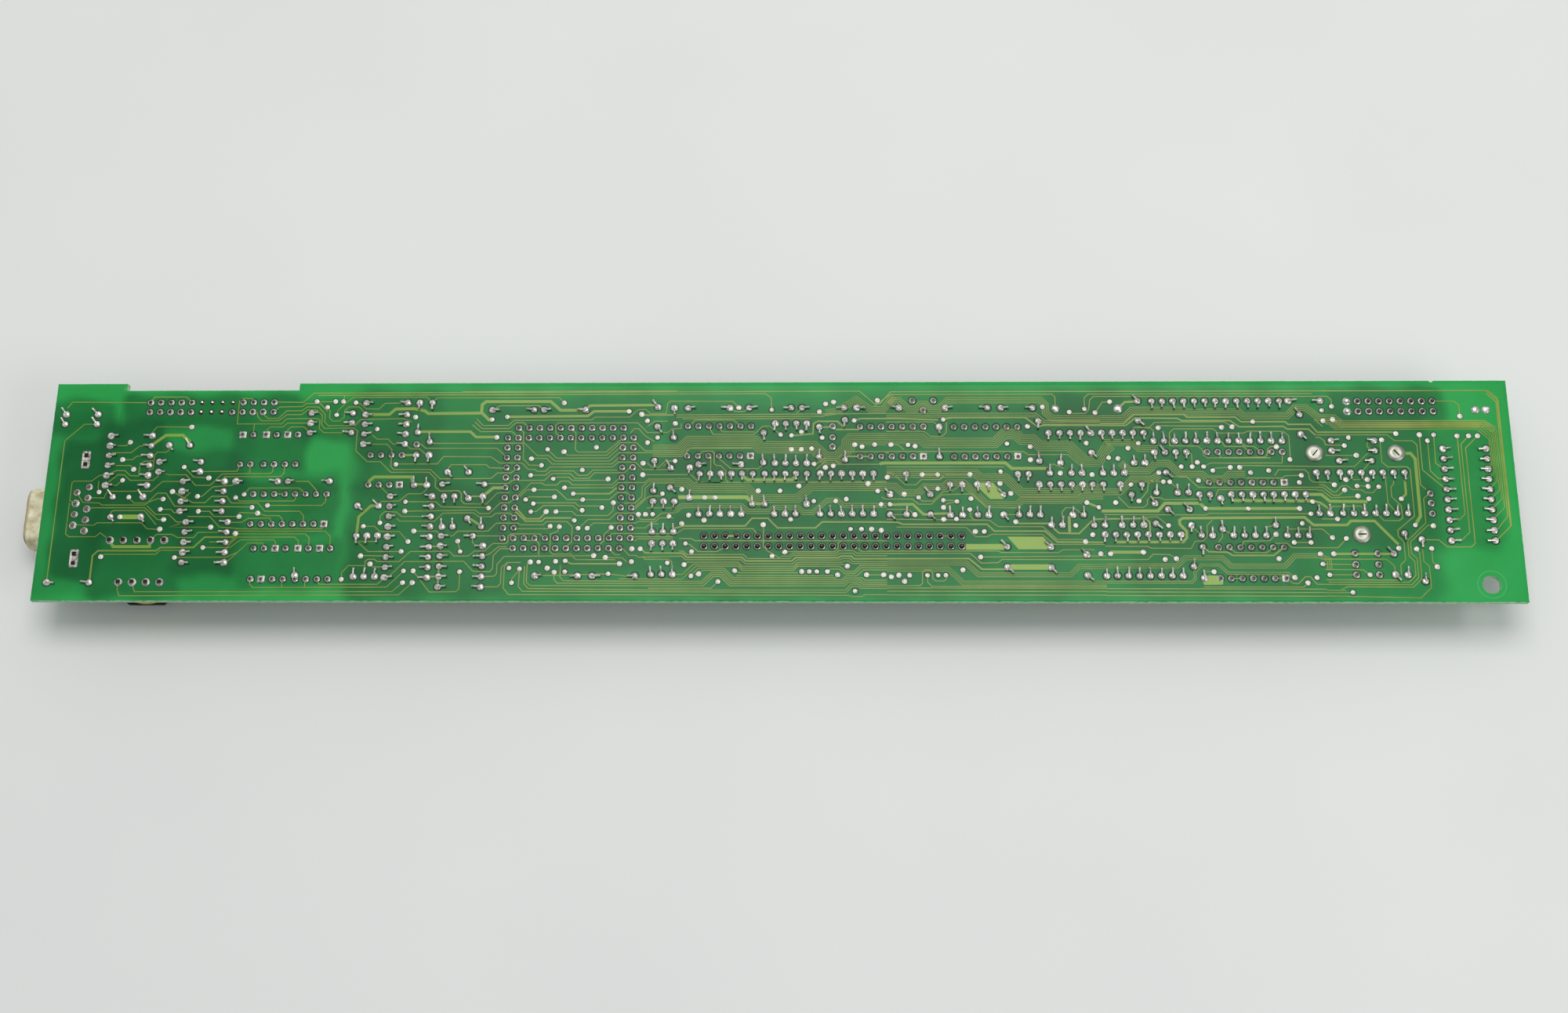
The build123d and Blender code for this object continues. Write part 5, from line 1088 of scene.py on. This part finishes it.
cut_end = (wire_line[-1][0] + 0.07, wire_line[-1][1] + 0.01)
wire_shape = tube([*wire_line, cut_end], [wire_radius] * len(wire_line) + [wire_radius * 0.7], wire_sides)
turns = np.radians(bent[:, 2] + rng.uniform(-wire_scatter, wire_scatter, len(bent)))
points, quads = stamped(wire_shape, bent, turns, rng.uniform(0.88, 1.06, len(bent)))
# The wire's cut end takes the same painted dark, here a painted shade at the wire's end.
tip = np.tile(tipped(len(wire_line) + 1, wire_sides, 1), len(bent))
shaded_mask_openings("bent_shaded_openings", bent, bent_opening)
lay("bent_leads", points, quads, joint, "solder", values={"tip": tip})


# ---------------------------------------------------------------------------------- square joints
# The first pins of chips and couplers stand in square solder pads, the connector's board locks
# in long ones, and the cell's three lugs in large round mounds of duller solder.
square_places = [(68.7, 19.1), (86.2, 29.0), (170.6, 36.25), (212.1, 36.1), (234.6, 36.1), (296.2, 5.7),
                 (297.4, 29.4), (47.06, 41.9), (52.8, 41.9), (58.0, 41.9), (57.5, 13.0), (63.0, 13.0),
                 (68.2, 13.0), (54.8, 5.35)]
pad_profile = ((1.0, -0.02), (0.97, 0.07), (0.86, 0.12), (0.5, 0.13))


def squared(profile, sides, half_u, half_v, power=0.28):
    """Pad with four round corners: the turned shape, its cos and sin raised to a power, sign kept."""
    points, faces = turned(profile, sides)
    reach = np.hypot(points[:, 0], points[:, 1])
    direction = points[:, :2] / reach[:, None]
    bulged = np.sign(direction) * np.abs(direction) ** power
    return np.column_stack([bulged * reach[:, None] * (half_u, half_v), points[:, 2]]), faces


pad_half, lock_half = (0.92, 0.92), (1.1, 2.3)
points, quads = stamped(squared(pad_profile, 24, *pad_half), square_places)
lay("square_pads", points, quads, solder, "solder")
lock_pad_profile = ((1.0, -0.02), (0.98, 0.16), (0.88, 0.26), (0.6, 0.22), (0.3, 0.2))
lock_u, lock_middle_v, lock_reach = 9.3, 22.92, 12.495
lock_pads = [(lock_u, lock_middle_v + lock_reach), (lock_u, lock_middle_v - lock_reach)]
points, quads = stamped(squared(lock_pad_profile, 40, *lock_half), lock_pads)
lay("lock_pads", points, quads, solder, "solder")

_, lug_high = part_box("cell_solder")
lug_centres = [(305.0, 36.75), (324.25, 36.75), (314.6, 16.4)]
lug_height = (lug_high[2] - board_high[2]) / MM
lug_profile = ((2.2, -0.02), (2.16, 0.3 * lug_height), (1.95, 0.62 * lug_height), (1.6, 0.86 * lug_height),
               (1.2, 0.96 * lug_height), (0.8, 0.9 * lug_height), (0.3, 0.86 * lug_height))
points, quads = stamped(turned(lug_profile, 32), lug_centres)
lug_solder = finish("lug_solder", colour(132, 136, 120), colour(176, 178, 164), (0.3, 0.42), 0.7, patch=500.0,
                    fine=2500.0, bump=0.4, height=0.00004)
lay("cell_lug_joints", points, quads, lug_solder, "solder", ["cell_solder"])


# ---------------------------------------------------------------------------------- D connector
# Nine-way socket: a drawn shell of tinned steel, gone cream with age and brown along its mouth,
# round a black insulator with nine holes, held by two spring locks and read by nine gilded contacts.
def at_height(material, level, low, high, axis="Z", soft=0.00008):
    """Colour by place along one axis: low before a level, in metres, and high after it."""
    tree = material.node_tree
    place = node(tree, "ShaderNodeTexCoord")
    apart = node(tree, "ShaderNodeSeparateXYZ")
    step = node(tree, "ShaderNodeMapRange", clamp=True, from_min=level - soft, from_max=level + soft)
    link(tree, place, "Object", apart, "Vector")
    link(tree, apart, axis, step, "Value")
    mixed = blended(tree, low, high, step.outputs["Result"])
    tree.links.new(mixed, tree.nodes["Principled BSDF"].inputs["Base Color"])
    return mixed


def softened(name, nodes_used, bevel, material, segments=2, cuts=(), corner=35.0, reshape=None):
    """Copy of CAD nodes, merged, with every sharp edge rounded by a small bevel."""
    shape = bmesh.new()
    for used_node in nodes_used:
        shape.from_mesh(nodes[used_node].data)
    bmesh.ops.remove_doubles(shape, verts=shape.verts, dist=1e-6)
    bmesh.ops.dissolve_limit(shape, angle_limit=np.radians(1.0), verts=shape.verts, edges=shape.edges)
    bmesh.ops.recalc_face_normals(shape, faces=shape.faces)
    for place, normal in cuts:
        whole = [*shape.verts, *shape.edges, *shape.faces]
        bmesh.ops.bisect_plane(shape, geom=whole, plane_co=place, plane_no=normal)
    sharp = [edge for edge in shape.edges
             if len(edge.link_faces) == 2 and edge.calc_face_angle() > np.radians(corner)]
    bmesh.ops.bevel(shape, geom=sharp, offset=bevel * MM, offset_type="OFFSET", segments=segments,
                    profile=0.5, affect="EDGES", clamp_overlap=True)
    bmesh.ops.remove_doubles(shape, verts=shape.verts, dist=1e-6)
    bmesh.ops.recalc_face_normals(shape, faces=shape.faces)
    mesh = bpy.data.meshes.new(name)
    shape.to_mesh(mesh)
    shape.free()
    if reshape:
        points = np.empty(3 * len(mesh.vertices), np.float32)
        mesh.vertices.foreach_get("co", points)
        mesh.vertices.foreach_set("co", reshape(points.reshape(-1, 3)).astype(np.float32).ravel())
        mesh.update()
    mesh.materials.clear()
    mesh.materials.append(material)
    mesh.shade_smooth()
    mesh.set_sharp_from_angle(angle=np.radians(corner))
    piece = bpy.data.objects.new(name, mesh)
    bpy.context.scene.collection.objects.link(piece)
    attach(piece, "root")
    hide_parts(*nodes_used)


shell_low, shell_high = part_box("connector_shell")
lip_from, lip_depth, lip_turn = shell_low[0] + 1.3 * MM, 1.3 * MM, 0.55 * MM
shell_axis = np.array([(shell_low[1] + shell_high[1]) / 2, 6.25 * MM])
brown_mouth_to = shell_low[0] + 0.6 * MM


def curled(points):
    """Draws the skirt's mouth in towards its axis by lip_turn t^2, t rising from 0 to 1 over the lip."""
    t = np.clip((lip_from - points[:, 0]) / lip_depth, 0, 1)
    away = shell_axis - points[:, 1:]
    inward = np.sign(away) * np.minimum(np.abs(away) * 0.3, lip_turn)
    points[:, 1:] += inward * (t ** 2)[:, None]
    return points


tinned = finish("aged_tin", colour(176, 164, 118), colour(240, 236, 208), (0.3, 0.5), 0.3,
                patch=260.0, bump=0.5)
cream = at_height(tinned, brown_mouth_to, colour(138, 106, 64), colour(236, 230, 202), "X", 0.0005)
tree = tinned.node_tree
stains = grouped(tree, uneven, size=420.0, detail=6.0)
tree.links.new(blended(tree, cream, colour(186, 172, 128), stains.outputs["Mask"]),
               tree.nodes["Principled BSDF"].inputs["Base Color"])
lip_cuts = [((lip_from - lip_depth * share, 0, 0), (1, 0, 0)) for share in (0.0, 0.25, 0.5, 0.75)]
softened("d_shell", ["connector_shell"], 0.12, tinned, cuts=lip_cuts, reshape=curled)
black_plastic = finish("black_plastic", colour(24, 25, 26), colour(38, 39, 40), (0.35, 0.5), patch=500.0)
softened("d_insulator", ["connector_insulator"], 0.25, black_plastic)


def painted(node_name, material):
    """Gives a CAD node that shows as it is one procedural material."""
    nodes[node_name].data.materials.clear()
    nodes[node_name].data.materials.append(material)


plated = finish("plated_steel", colour(176, 176, 172), colour(206, 206, 200), (0.22, 0.4), 0.9, patch=700.0)
# The ends above the solder face are painted dark: a painted dark reflection, as on the joints' tips.
at_height(plated, board_high[2] + 0.1 * MM, colour(196, 196, 192), colour(44, 36, 28))
painted("connector_locks", plated)
gilded = finish("gilded", colour(196, 164, 96), colour(220, 188, 116), (0.2, 0.35), 1.0, patch=900.0)
# The contacts' ends above the solder face are painted grey-brown: a painted dark reflection.
at_height(gilded, board_high[2] + 0.1 * MM, colour(212, 178, 104), colour(120, 112, 98))
painted("connector_contacts", gilded)


# ---------------------------------------------------------------------------------- headers
# Two shrouded headers, the socket strip and the jumper: moulded black plastic with gilded
# square pins, whose walls keep a small mould radius.
softened("header_26_shroud", ["header_26_housing"], 0.22, black_plastic)
softened("header_50_shroud", ["header_50_housing"], 0.22, black_plastic)
softened("header_26_gilded_pins", ["header_26_pins"], 0.1, gilded, segments=1)
softened("header_50_gilded_pins", ["header_50_pins"], 0.1, gilded, segments=1)
softened("strip_body", ["socket_strip"], 0.15, black_plastic)
softened("jumper_block", ["jumper_base"], 0.2, black_plastic)
softened("jumper_gilded_pins", ["jumper_pins"], 0.1, gilded, segments=1)


# ---------------------------------------------------------------------------------- processor
# A square chip in its brown socket: the socket's four walls hold 84 bright contacts, and the
# chip is matt black moulding with one round dimple.
socket_brown = finish("socket_plastic", colour(66, 46, 34), colour(84, 60, 44), (0.4, 0.6), patch=400.0)
softened("processor_frame", ["processor_socket"], 0.3, socket_brown, segments=3)
chip_black = finish("chip_moulding", colour(30, 31, 33), colour(44, 45, 47), (0.55, 0.75), patch=250.0,
                    fine=4000.0, bump=0.7)
softened("processor_body", ["processor_chip"], 0.18, chip_black)
painted("processor_socket_contacts", gilded)


# ---------------------------------------------------------------------------------- two-row chips
# Moulded black chips with a notch at one end, and white couplers of four legs, all on bent
# tinned legs.
leg_tin = finish("leg_tin", colour(168, 168, 164), colour(206, 206, 200), (0.25, 0.45), 0.9, patch=900.0)
softened("chip_bodies_8", ["chips_8_way"], 0.22, chip_black)
softened("chip_bodies_14", ["chips_14_way"], 0.22, chip_black)
softened("chip_bodies_16", ["chips_16_way"], 0.22, chip_black)
opto_white = finish("opto_moulding", colour(214, 212, 202), colour(232, 230, 222), (0.4, 0.6), patch=300.0)
softened("opto_bodies", ["optocouplers"], 0.18, opto_white)
for legs in ("chips_8_way_legs", "chips_14_way_legs", "chips_16_way_legs", "optocoupler_legs"):
    painted(legs, leg_tin)


# ---------------------------------------------------------------------------------- resistors
# Dipped film resistors: a dog-bone body of beige lacquer with four colour bands, and tinned
# leads that bend down through the board at both ends.
standard_bands = {"black": (20, 18, 18), "brown": (92, 52, 30), "red": (176, 38, 34),
                  "orange": (222, 112, 34), "yellow": (226, 196, 50), "green": (44, 128, 70),
                  "blue": (40, 82, 160), "violet": (112, 62, 142), "gold": (176, 138, 62)}
lacquer = (206, 178, 132)
values_used = [("brown", "black", "red"), ("red", "red", "brown"), ("yellow", "violet", "red"),
               ("brown", "black", "orange"), ("orange", "orange", "brown"), ("green", "blue", "red")]


def unit_rings(stations, radii, sides):
    """Round bar along u: circles of the given radii at the stations, closed by end caps."""
    points, faces = turned(np.column_stack([radii, stations]), sides)
    return points[:, [2, 0, 1]], faces


def middles(entries, lengthwise, span):
    """Middles of all parts in a list of rows, between the two holes of each."""
    return np.array(spread(entries, lengthwise)) + ((span / 2, 0.0) if lengthwise else (0.0, span / 2))


def laid_bars(entries, lengthwise, span, stations, radii, axis_drop, sides, paint):
    """Bodies of axial parts at all their places: points, quads and a colour for each point."""
    bar, faces = unit_rings(stations, radii, sides)
    middle = middles(entries, lengthwise, span)
    ways = np.where(rng.random(len(middle)) < 0.5, 0.0, np.pi) + (0.0 if lengthwise else np.pi / 2)
    points, quads = stamped((bar + (0, 0, -thickness - axis_drop), faces), middle, ways)
    return points, quads, np.concatenate([np.repeat(paint(i), sides, 0) for i in range(len(middle))])


def underside_leads(entries, lengthwise, span, half_body, axis_drop, radius):
    """Wire from each end of a body, out along its axis, round a bend and up into the board."""
    half = span / 2
    line = [(half_body - 0.3, -axis_drop), (half - 0.75, -axis_drop), (half - 0.3, -axis_drop + 0.14),
            (half - 0.06, -axis_drop + 0.45), (half, -axis_drop + 0.8), (half, 0.05)]
    wire, faces = tube(line, radius, wire_sides)
    middle = middles(entries, lengthwise, span)
    base = 0.0 if lengthwise else np.pi / 2
    return joined([stamped((wire - (0, 0, thickness), faces), middle, way) for way in (base, base + np.pi)])


resistor_stations = np.array([
    -3.15, -3.05, -2.8, -2.35, -1.9, -1.6, -1.58, -1.12, -1.1, -0.82, -0.8, -0.34, -0.32,
    -0.04, -0.02, 0.44, 0.46, 1.3, 1.32, 1.78, 1.8, 2.35, 2.8, 3.05, 3.15])
dog_bone = np.interp(np.abs(resistor_stations), [0, 1.5, 2.0, 2.5, 2.8, 3.05, 3.15],
                     [0.88, 0.88, 0.94, 1.05, 1.05, 0.72, 0.3])
band_rings = ((6, 7), (10, 11), (14, 15), (18, 19))  # pairs of stations that one band covers
resistor_axis, resistor_sides, resistor_half, resistor_wire = 1.07, 14, 3.15, 0.28


def resistor_paint(i):
    """Lacquer with the bands of one of the usual values, chosen in turn."""
    shades_used = np.tile(np.array(colour(*lacquer)), (len(resistor_stations), 1))
    names = (*values_used[i % len(values_used)], "gold")
    for name, (one, two) in zip(names, band_rings):
        shades_used[[one, two]] = colour(*standard_bands[name])
    return shades_used


def attribute_paint(name, roughness, bump=0.3, **others):
    """Material that takes its colour from the attribute "paint", over a slight grain."""
    material, tree, shader = new_material(name, (1, 1, 1, 1), roughness, **others)
    read = node(tree, "ShaderNodeAttribute", attribute_name="paint")
    patches = grouped(tree, uneven, size=900.0)
    shaded = node(tree, "ShaderNodeMix", data_type="RGBA", blend_type="MULTIPLY")
    shaded.inputs[0].default_value = 1.0
    tint = blended(tree, (0.86, 0.86, 0.86, 1.0), (1.0, 1.0, 1.0, 1.0), patches.outputs["Mask"])
    link(tree, read, "Color", shaded, 6)
    tree.links.new(tint, shaded.inputs[7])
    link(tree, shaded, 2, shader, "Base Color")
    grained(tree, shader, size=3000.0, strength=bump)
    return material


lacquered = attribute_paint("resistor_lacquer", 0.35, Coat_Weight=0.3)
for name, entries, lengthwise in (("resistors_lengthwise", resistors_lengthwise, True),
                                  ("resistors_crosswise", resistors_crosswise, False)):
    points, quads, paint = laid_bars(entries, lengthwise, resistor_span, resistor_stations, dog_bone,
                                     resistor_axis, resistor_sides, resistor_paint)
    lay(name.replace("resistors", "resistor_bodies"), points, quads, lacquered,
        "resistor_lacquer", [name], colours={"paint": paint})
    points, quads = underside_leads(entries, lengthwise, resistor_span, resistor_half, resistor_axis,
                                    resistor_wire)
    lay(name.replace("resistors", "resistor_leads"), points, quads, leg_tin, "tinned_metal")


# ---------------------------------------------------------------------------------- diodes
# Small glass diodes, amber with one black band at the cathode.
diode_stations = np.array([-1.9, -1.82, -1.6, -1.32, -1.3, -0.82, -0.8, 0.0, 1.2, 1.6, 1.82, 1.9])
diode_radii = np.array([0.3, 0.62, 0.88, 0.9, 0.9, 0.9, 0.9, 0.9, 0.9, 0.88, 0.62, 0.3])
glass_colour, band_colour = colour(186, 96, 44), colour(24, 20, 20)
diode_axis, diode_sides, diode_half, diode_wire = 0.92, 12, 1.9, 0.25


def diode_paint(_):
    """Amber glass with the cathode's black band."""
    shades_used = np.tile(np.array(glass_colour), (len(diode_stations), 1))
    shades_used[[4, 5]] = band_colour
    return shades_used


glassy = attribute_paint("diode_glass", 0.12, bump=0.05, Coat_Weight=0.8)
diode_rows = ((diodes_lengthwise, True), (diodes_crosswise, False))
parts = [laid_bars(entries, lengthwise, diode_span, diode_stations, diode_radii, diode_axis, diode_sides,
                   diode_paint) for entries, lengthwise in diode_rows]
points, quads = joined([(points, quads) for points, quads, _ in parts])
lay("diode_bodies", points, quads, glassy, "diode_glass", ["diodes"],
    colours={"paint": np.concatenate([paint for _, _, paint in parts])})
points, quads = joined([underside_leads(entries, lengthwise, diode_span, diode_half, diode_axis, diode_wire)
                        for entries, lengthwise in diode_rows])
lay("diode_leads", points, quads, leg_tin, "tinned_metal")


# ---------------------------------------------------------------------------------- dipped capacitors
# Lentil-shaped capacitors dipped in orange-brown resin, each on two short tinned leads.
resin = finish("dipped_resin", colour(176, 96, 34), colour(202, 120, 50), (0.25, 0.4), patch=500.0,
               bump=0.5, Coat_Weight=0.3)
dipped_low, dipped_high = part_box("dipped_capacitors")
dipped_half = np.array([3.3, (dipped_high[2] - dipped_low[2]) / 2 / MM, 1.2])
dipped_axis = ((dipped_high[2] + dipped_low[2]) / 2 - board_high[2]) / MM
swell = np.radians([-86, -74, -58, -38, -16, 16, 38, 58, 74, 86])
lens_profile = np.column_stack([np.cos(swell) ** 0.42, np.sin(swell)])
lens, faces = squared(lens_profile, 28, *dipped_half[:2], power=0.72)
lens = lens[:, [0, 2, 1]] * (1, dipped_half[2], 1) + (radial_span / 2, 0, dipped_axis)
points, quads = joined([stamped((lens, faces[:, ::-1]), places, way)
                        for places, way in ((dipped_lengthwise, 0.0), (dipped_crosswise, np.pi / 2))])
lay("dipped_bodies", points, quads, resin, "dipped_resin", ["dipped_capacitors"], smooth=60.0)
painted("dipped_capacitor_leads", leg_tin)


# ---------------------------------------------------------------------------------- transistors
# Moulded transistors and one voltage regulator, each half round with a flat face, on three legs.
softened("transistor_bodies", ["transistors"], 0.2, chip_black, corner=30.0)
painted("transistor_legs", leg_tin)


# ---------------------------------------------------------------------------------- electrolytic
# Lying electrolytic capacitor: an aluminium can in a blue sleeve, crimped near one end, with
# two pale stripes side by side along it.
can_low, can_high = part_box("electrolytic_capacitor")
can_axis = [(can_low[i] + can_high[i]) / 2 for i in (1, 2)]
can_half, can_radius = (can_high[0] - can_low[0]) / 2 / MM, (can_high[1] - can_low[1]) / 2 / MM
can_profile = np.array([
    (0.55, -1.0), (0.86, -1.0), (0.97, -0.985), (1.0, -0.94), (1.0, -0.70), (0.965, -0.66), (0.89, -0.63),
    (0.89, -0.60), (0.965, -0.57), (1.0, -0.53), (1.0, 0.94), (0.97, 0.985), (0.84, 1.0), (0.80, 0.985),
    (0.3, 0.985)])  # shares of the can's radius and half length
bar, quads = unit_rings(can_half * can_profile[:, 1], can_radius * can_profile[:, 0], 40)
points = bar * MM + np.array([(can_low[0] + can_high[0]) / 2, can_axis[0], can_axis[1]])
around = np.arctan2(bar[:, 2], bar[:, 1])
stripe_middle, stripe_half = 2.6, 0.3  # radians
stripe = np.abs(np.abs(around) - stripe_middle) < stripe_half
bare = (bar[:, 0] > 0.975 * can_half) | (bar[:, 0] < -0.995 * can_half)
paint = np.where(bare[:, None], np.array(colour(190, 190, 188)), np.where(
    stripe[:, None], np.array(colour(206, 210, 216)), np.array(colour(30, 52, 110))))
sleeve = attribute_paint("can_sleeve", 0.3, Coat_Weight=0.2)
build("electrolytic_can", points, [quads], sleeve, "can_sleeve", ["electrolytic_capacitor"],
      colours={"paint": paint})
painted("electrolytic_capacitor_leads", leg_tin)


# ---------------------------------------------------------------------------------- transformer
# Small transformer: a black bobbin with two pin rails, a winding under yellow tape, and
# two dark ferrite cores that meet in its middle.
ferrite = finish("ferrite", colour(40, 40, 42), colour(58, 58, 60), (0.5, 0.7), 0.2, patch=600.0, bump=0.6)
softened("bobbin", ["transformer_bobbin"], 0.2, black_plastic)
softened("core_lower", ["transformer_core_lower"], 0.3, ferrite)
softened("core_upper", ["transformer_core_upper"], 0.3, ferrite)
coil_tape = finish("coil_tape", colour(206, 186, 40), colour(226, 206, 62), (0.25, 0.4), patch=350.0,
                   bump=0.3, Coat_Weight=0.3)
painted("transformer_coil", coil_tape)
painted("transformer_pins", plated)


# ---------------------------------------------------------------------------------- backup cell
# Button cell in a pressed steel can, welded between two straps whose three tabs pass the board.
cell_steel = finish("cell_steel", colour(188, 190, 190), colour(214, 215, 214), (0.22, 0.36), 0.95,
                    patch=250.0, bump=0.25)
softened("cell_can", ["backup_cell"], 0.35, cell_steel, segments=3)
strap_steel = finish("strap_steel", colour(176, 174, 168), colour(204, 202, 196), (0.25, 0.4), 0.95,
                     patch=600.0, bump=0.35)
# The tabs above the lug mounds are painted dark: a painted shadow on the blade ends.
at_height(strap_steel, board_high[2] + 0.6 * MM, colour(192, 190, 184), colour(48, 42, 34))
softened("cell_strap_plus", ["cell_positive_strap"], 0.06, strap_steel, segments=1)
softened("cell_strap_minus", ["cell_negative_strap"], 0.06, strap_steel, segments=1)


# ---------------------------------------------------------------------------------- component side
# The far face of the laminate: tracks that cross from one bundle to the next between vias,
# the vias' other ends, and the white printed outline of every part.
def underneath(points, faces):
    """The same shape on the far face, hanging down from it."""
    return points * (1, 1, -1) - (0, 0, thickness), faces[:, ::-1]


shortest, longest, sideways = 5.0, 24.0, 3.5  # reach of a crossing over and along the board
crossings, free = [], np.ones(len(vias), bool)
for i in np.argsort(vias[:, 1]):
    run_u, run_v = vias[:, 0] - vias[i, 0], vias[:, 1] - vias[i, 1]
    fit = free & (run_v > shortest) & (run_v < longest) & (np.abs(run_u) < sideways)
    if free[i] and fit.any():
        j = np.argmin(np.where(fit, run_v + 3 * np.abs(run_u), np.inf))
        free[[i, j]] = False
        bend = (vias[i, 1] + vias[j, 1] - abs(run_u[j])) / 2
        slanted_to = (vias[j, 0], bend + abs(run_u[j]) + 0.01)
        crossings.append([vias[i], (vias[i, 0], bend), slanted_to, vias[j]])
points, quads = underneath(*joined([ribbon(route, thin, copper_height) for route in crossings]))
lay("component_side_tracks", points, quads, covered, "laminate",
    values={"wide": np.full(len(points), thin), "shade": np.zeros(len(points))})
points, quads = underneath(*stamped(turned(via_profile, via_sides), vias))
lay("component_side_vias", points, quads, solder, "solder")


def frame_of(middle_u, middle_v, wide, deep):
    """Rectangle as a closed path."""
    u, v = wide / 2, deep / 2
    corners = ((0, -v), (u, -v), (u, v), (-u, v), (-u, -v), (0.01, -v))
    return [(middle_u + a, middle_v + b) for a, b in corners]


def circle_of(middle_u, middle_v, radius, count=40):
    """Circle as a closed path."""
    angle = np.linspace(0, 2 * np.pi, count)
    return np.column_stack([middle_u + radius * np.cos(angle), middle_v + radius * np.sin(angle)])


outlines = [
    frame_of(127.11, 28.26, 38.2, 38.2), frame_of(38.79, 49.05, 41.6, 9.6),
    frame_of(190.38, 14.83, 72.0, 9.6), frame_of(323.8, 48.66, 23.6, 5.8), frame_of(345.17, 47.7, 5.8, 3.2),
    frame_of(251.4, 48.2, 12.4, 6.9), circle_of(314.6, 28.82, 13.0, 64), frame_of(24.05, 9.8, 22.4, 16.0)]
outlines += [[(241.2, 50.4), (242.8, 50.4)], [(242.0, 49.6), (242.0, 51.2)]]  # plus sign, big capacitor
for u, front_v, rear_v, count in chip_rows:
    outlines.append(frame_of(u + pitch / 2 * (count - 1), (front_v + rear_v) / 2,
                             pitch * (count - 1) + 4.4, rear_v - front_v - 2.2))
resistor_mark, diode_mark, dipped_mark, transistor_mark = (7.3, 2.4), (4.7, 2.1), (7.4, 3.1), 2.9
for entries, lengthwise, span, mark in (
        (resistors_lengthwise, True, resistor_span, resistor_mark),
        (diodes_lengthwise, True, diode_span, diode_mark),
        (resistors_crosswise, False, resistor_span, resistor_mark),
        (diodes_crosswise, False, diode_span, diode_mark)):
    outlines += [frame_of(u, v, *(mark if lengthwise else mark[::-1]))
                 for u, v in middles(entries, lengthwise, span)]
outlines += [frame_of(u + radial_span / 2, v, *dipped_mark) for u, v in dipped_lengthwise]
outlines += [frame_of(u, v + radial_span / 2, *dipped_mark[::-1]) for u, v in dipped_crosswise]
outlines += [circle_of(u, v, transistor_mark) for u, v in (
    (190.3, 41.15), (331.4, 24.15), (312.6, 9.15), (317.9, 9.15), (212.05, 50.4))]
ink = finish("printed_ink", colour(206, 210, 202), colour(228, 231, 224), (0.5, 0.7), patch=900.0)
print_width, print_height = 0.18, 0.02
points, quads = underneath(*joined([ribbon(path, print_width, print_height) for path in outlines]))
lay("printed_outlines", points, quads, ink, "laminate")
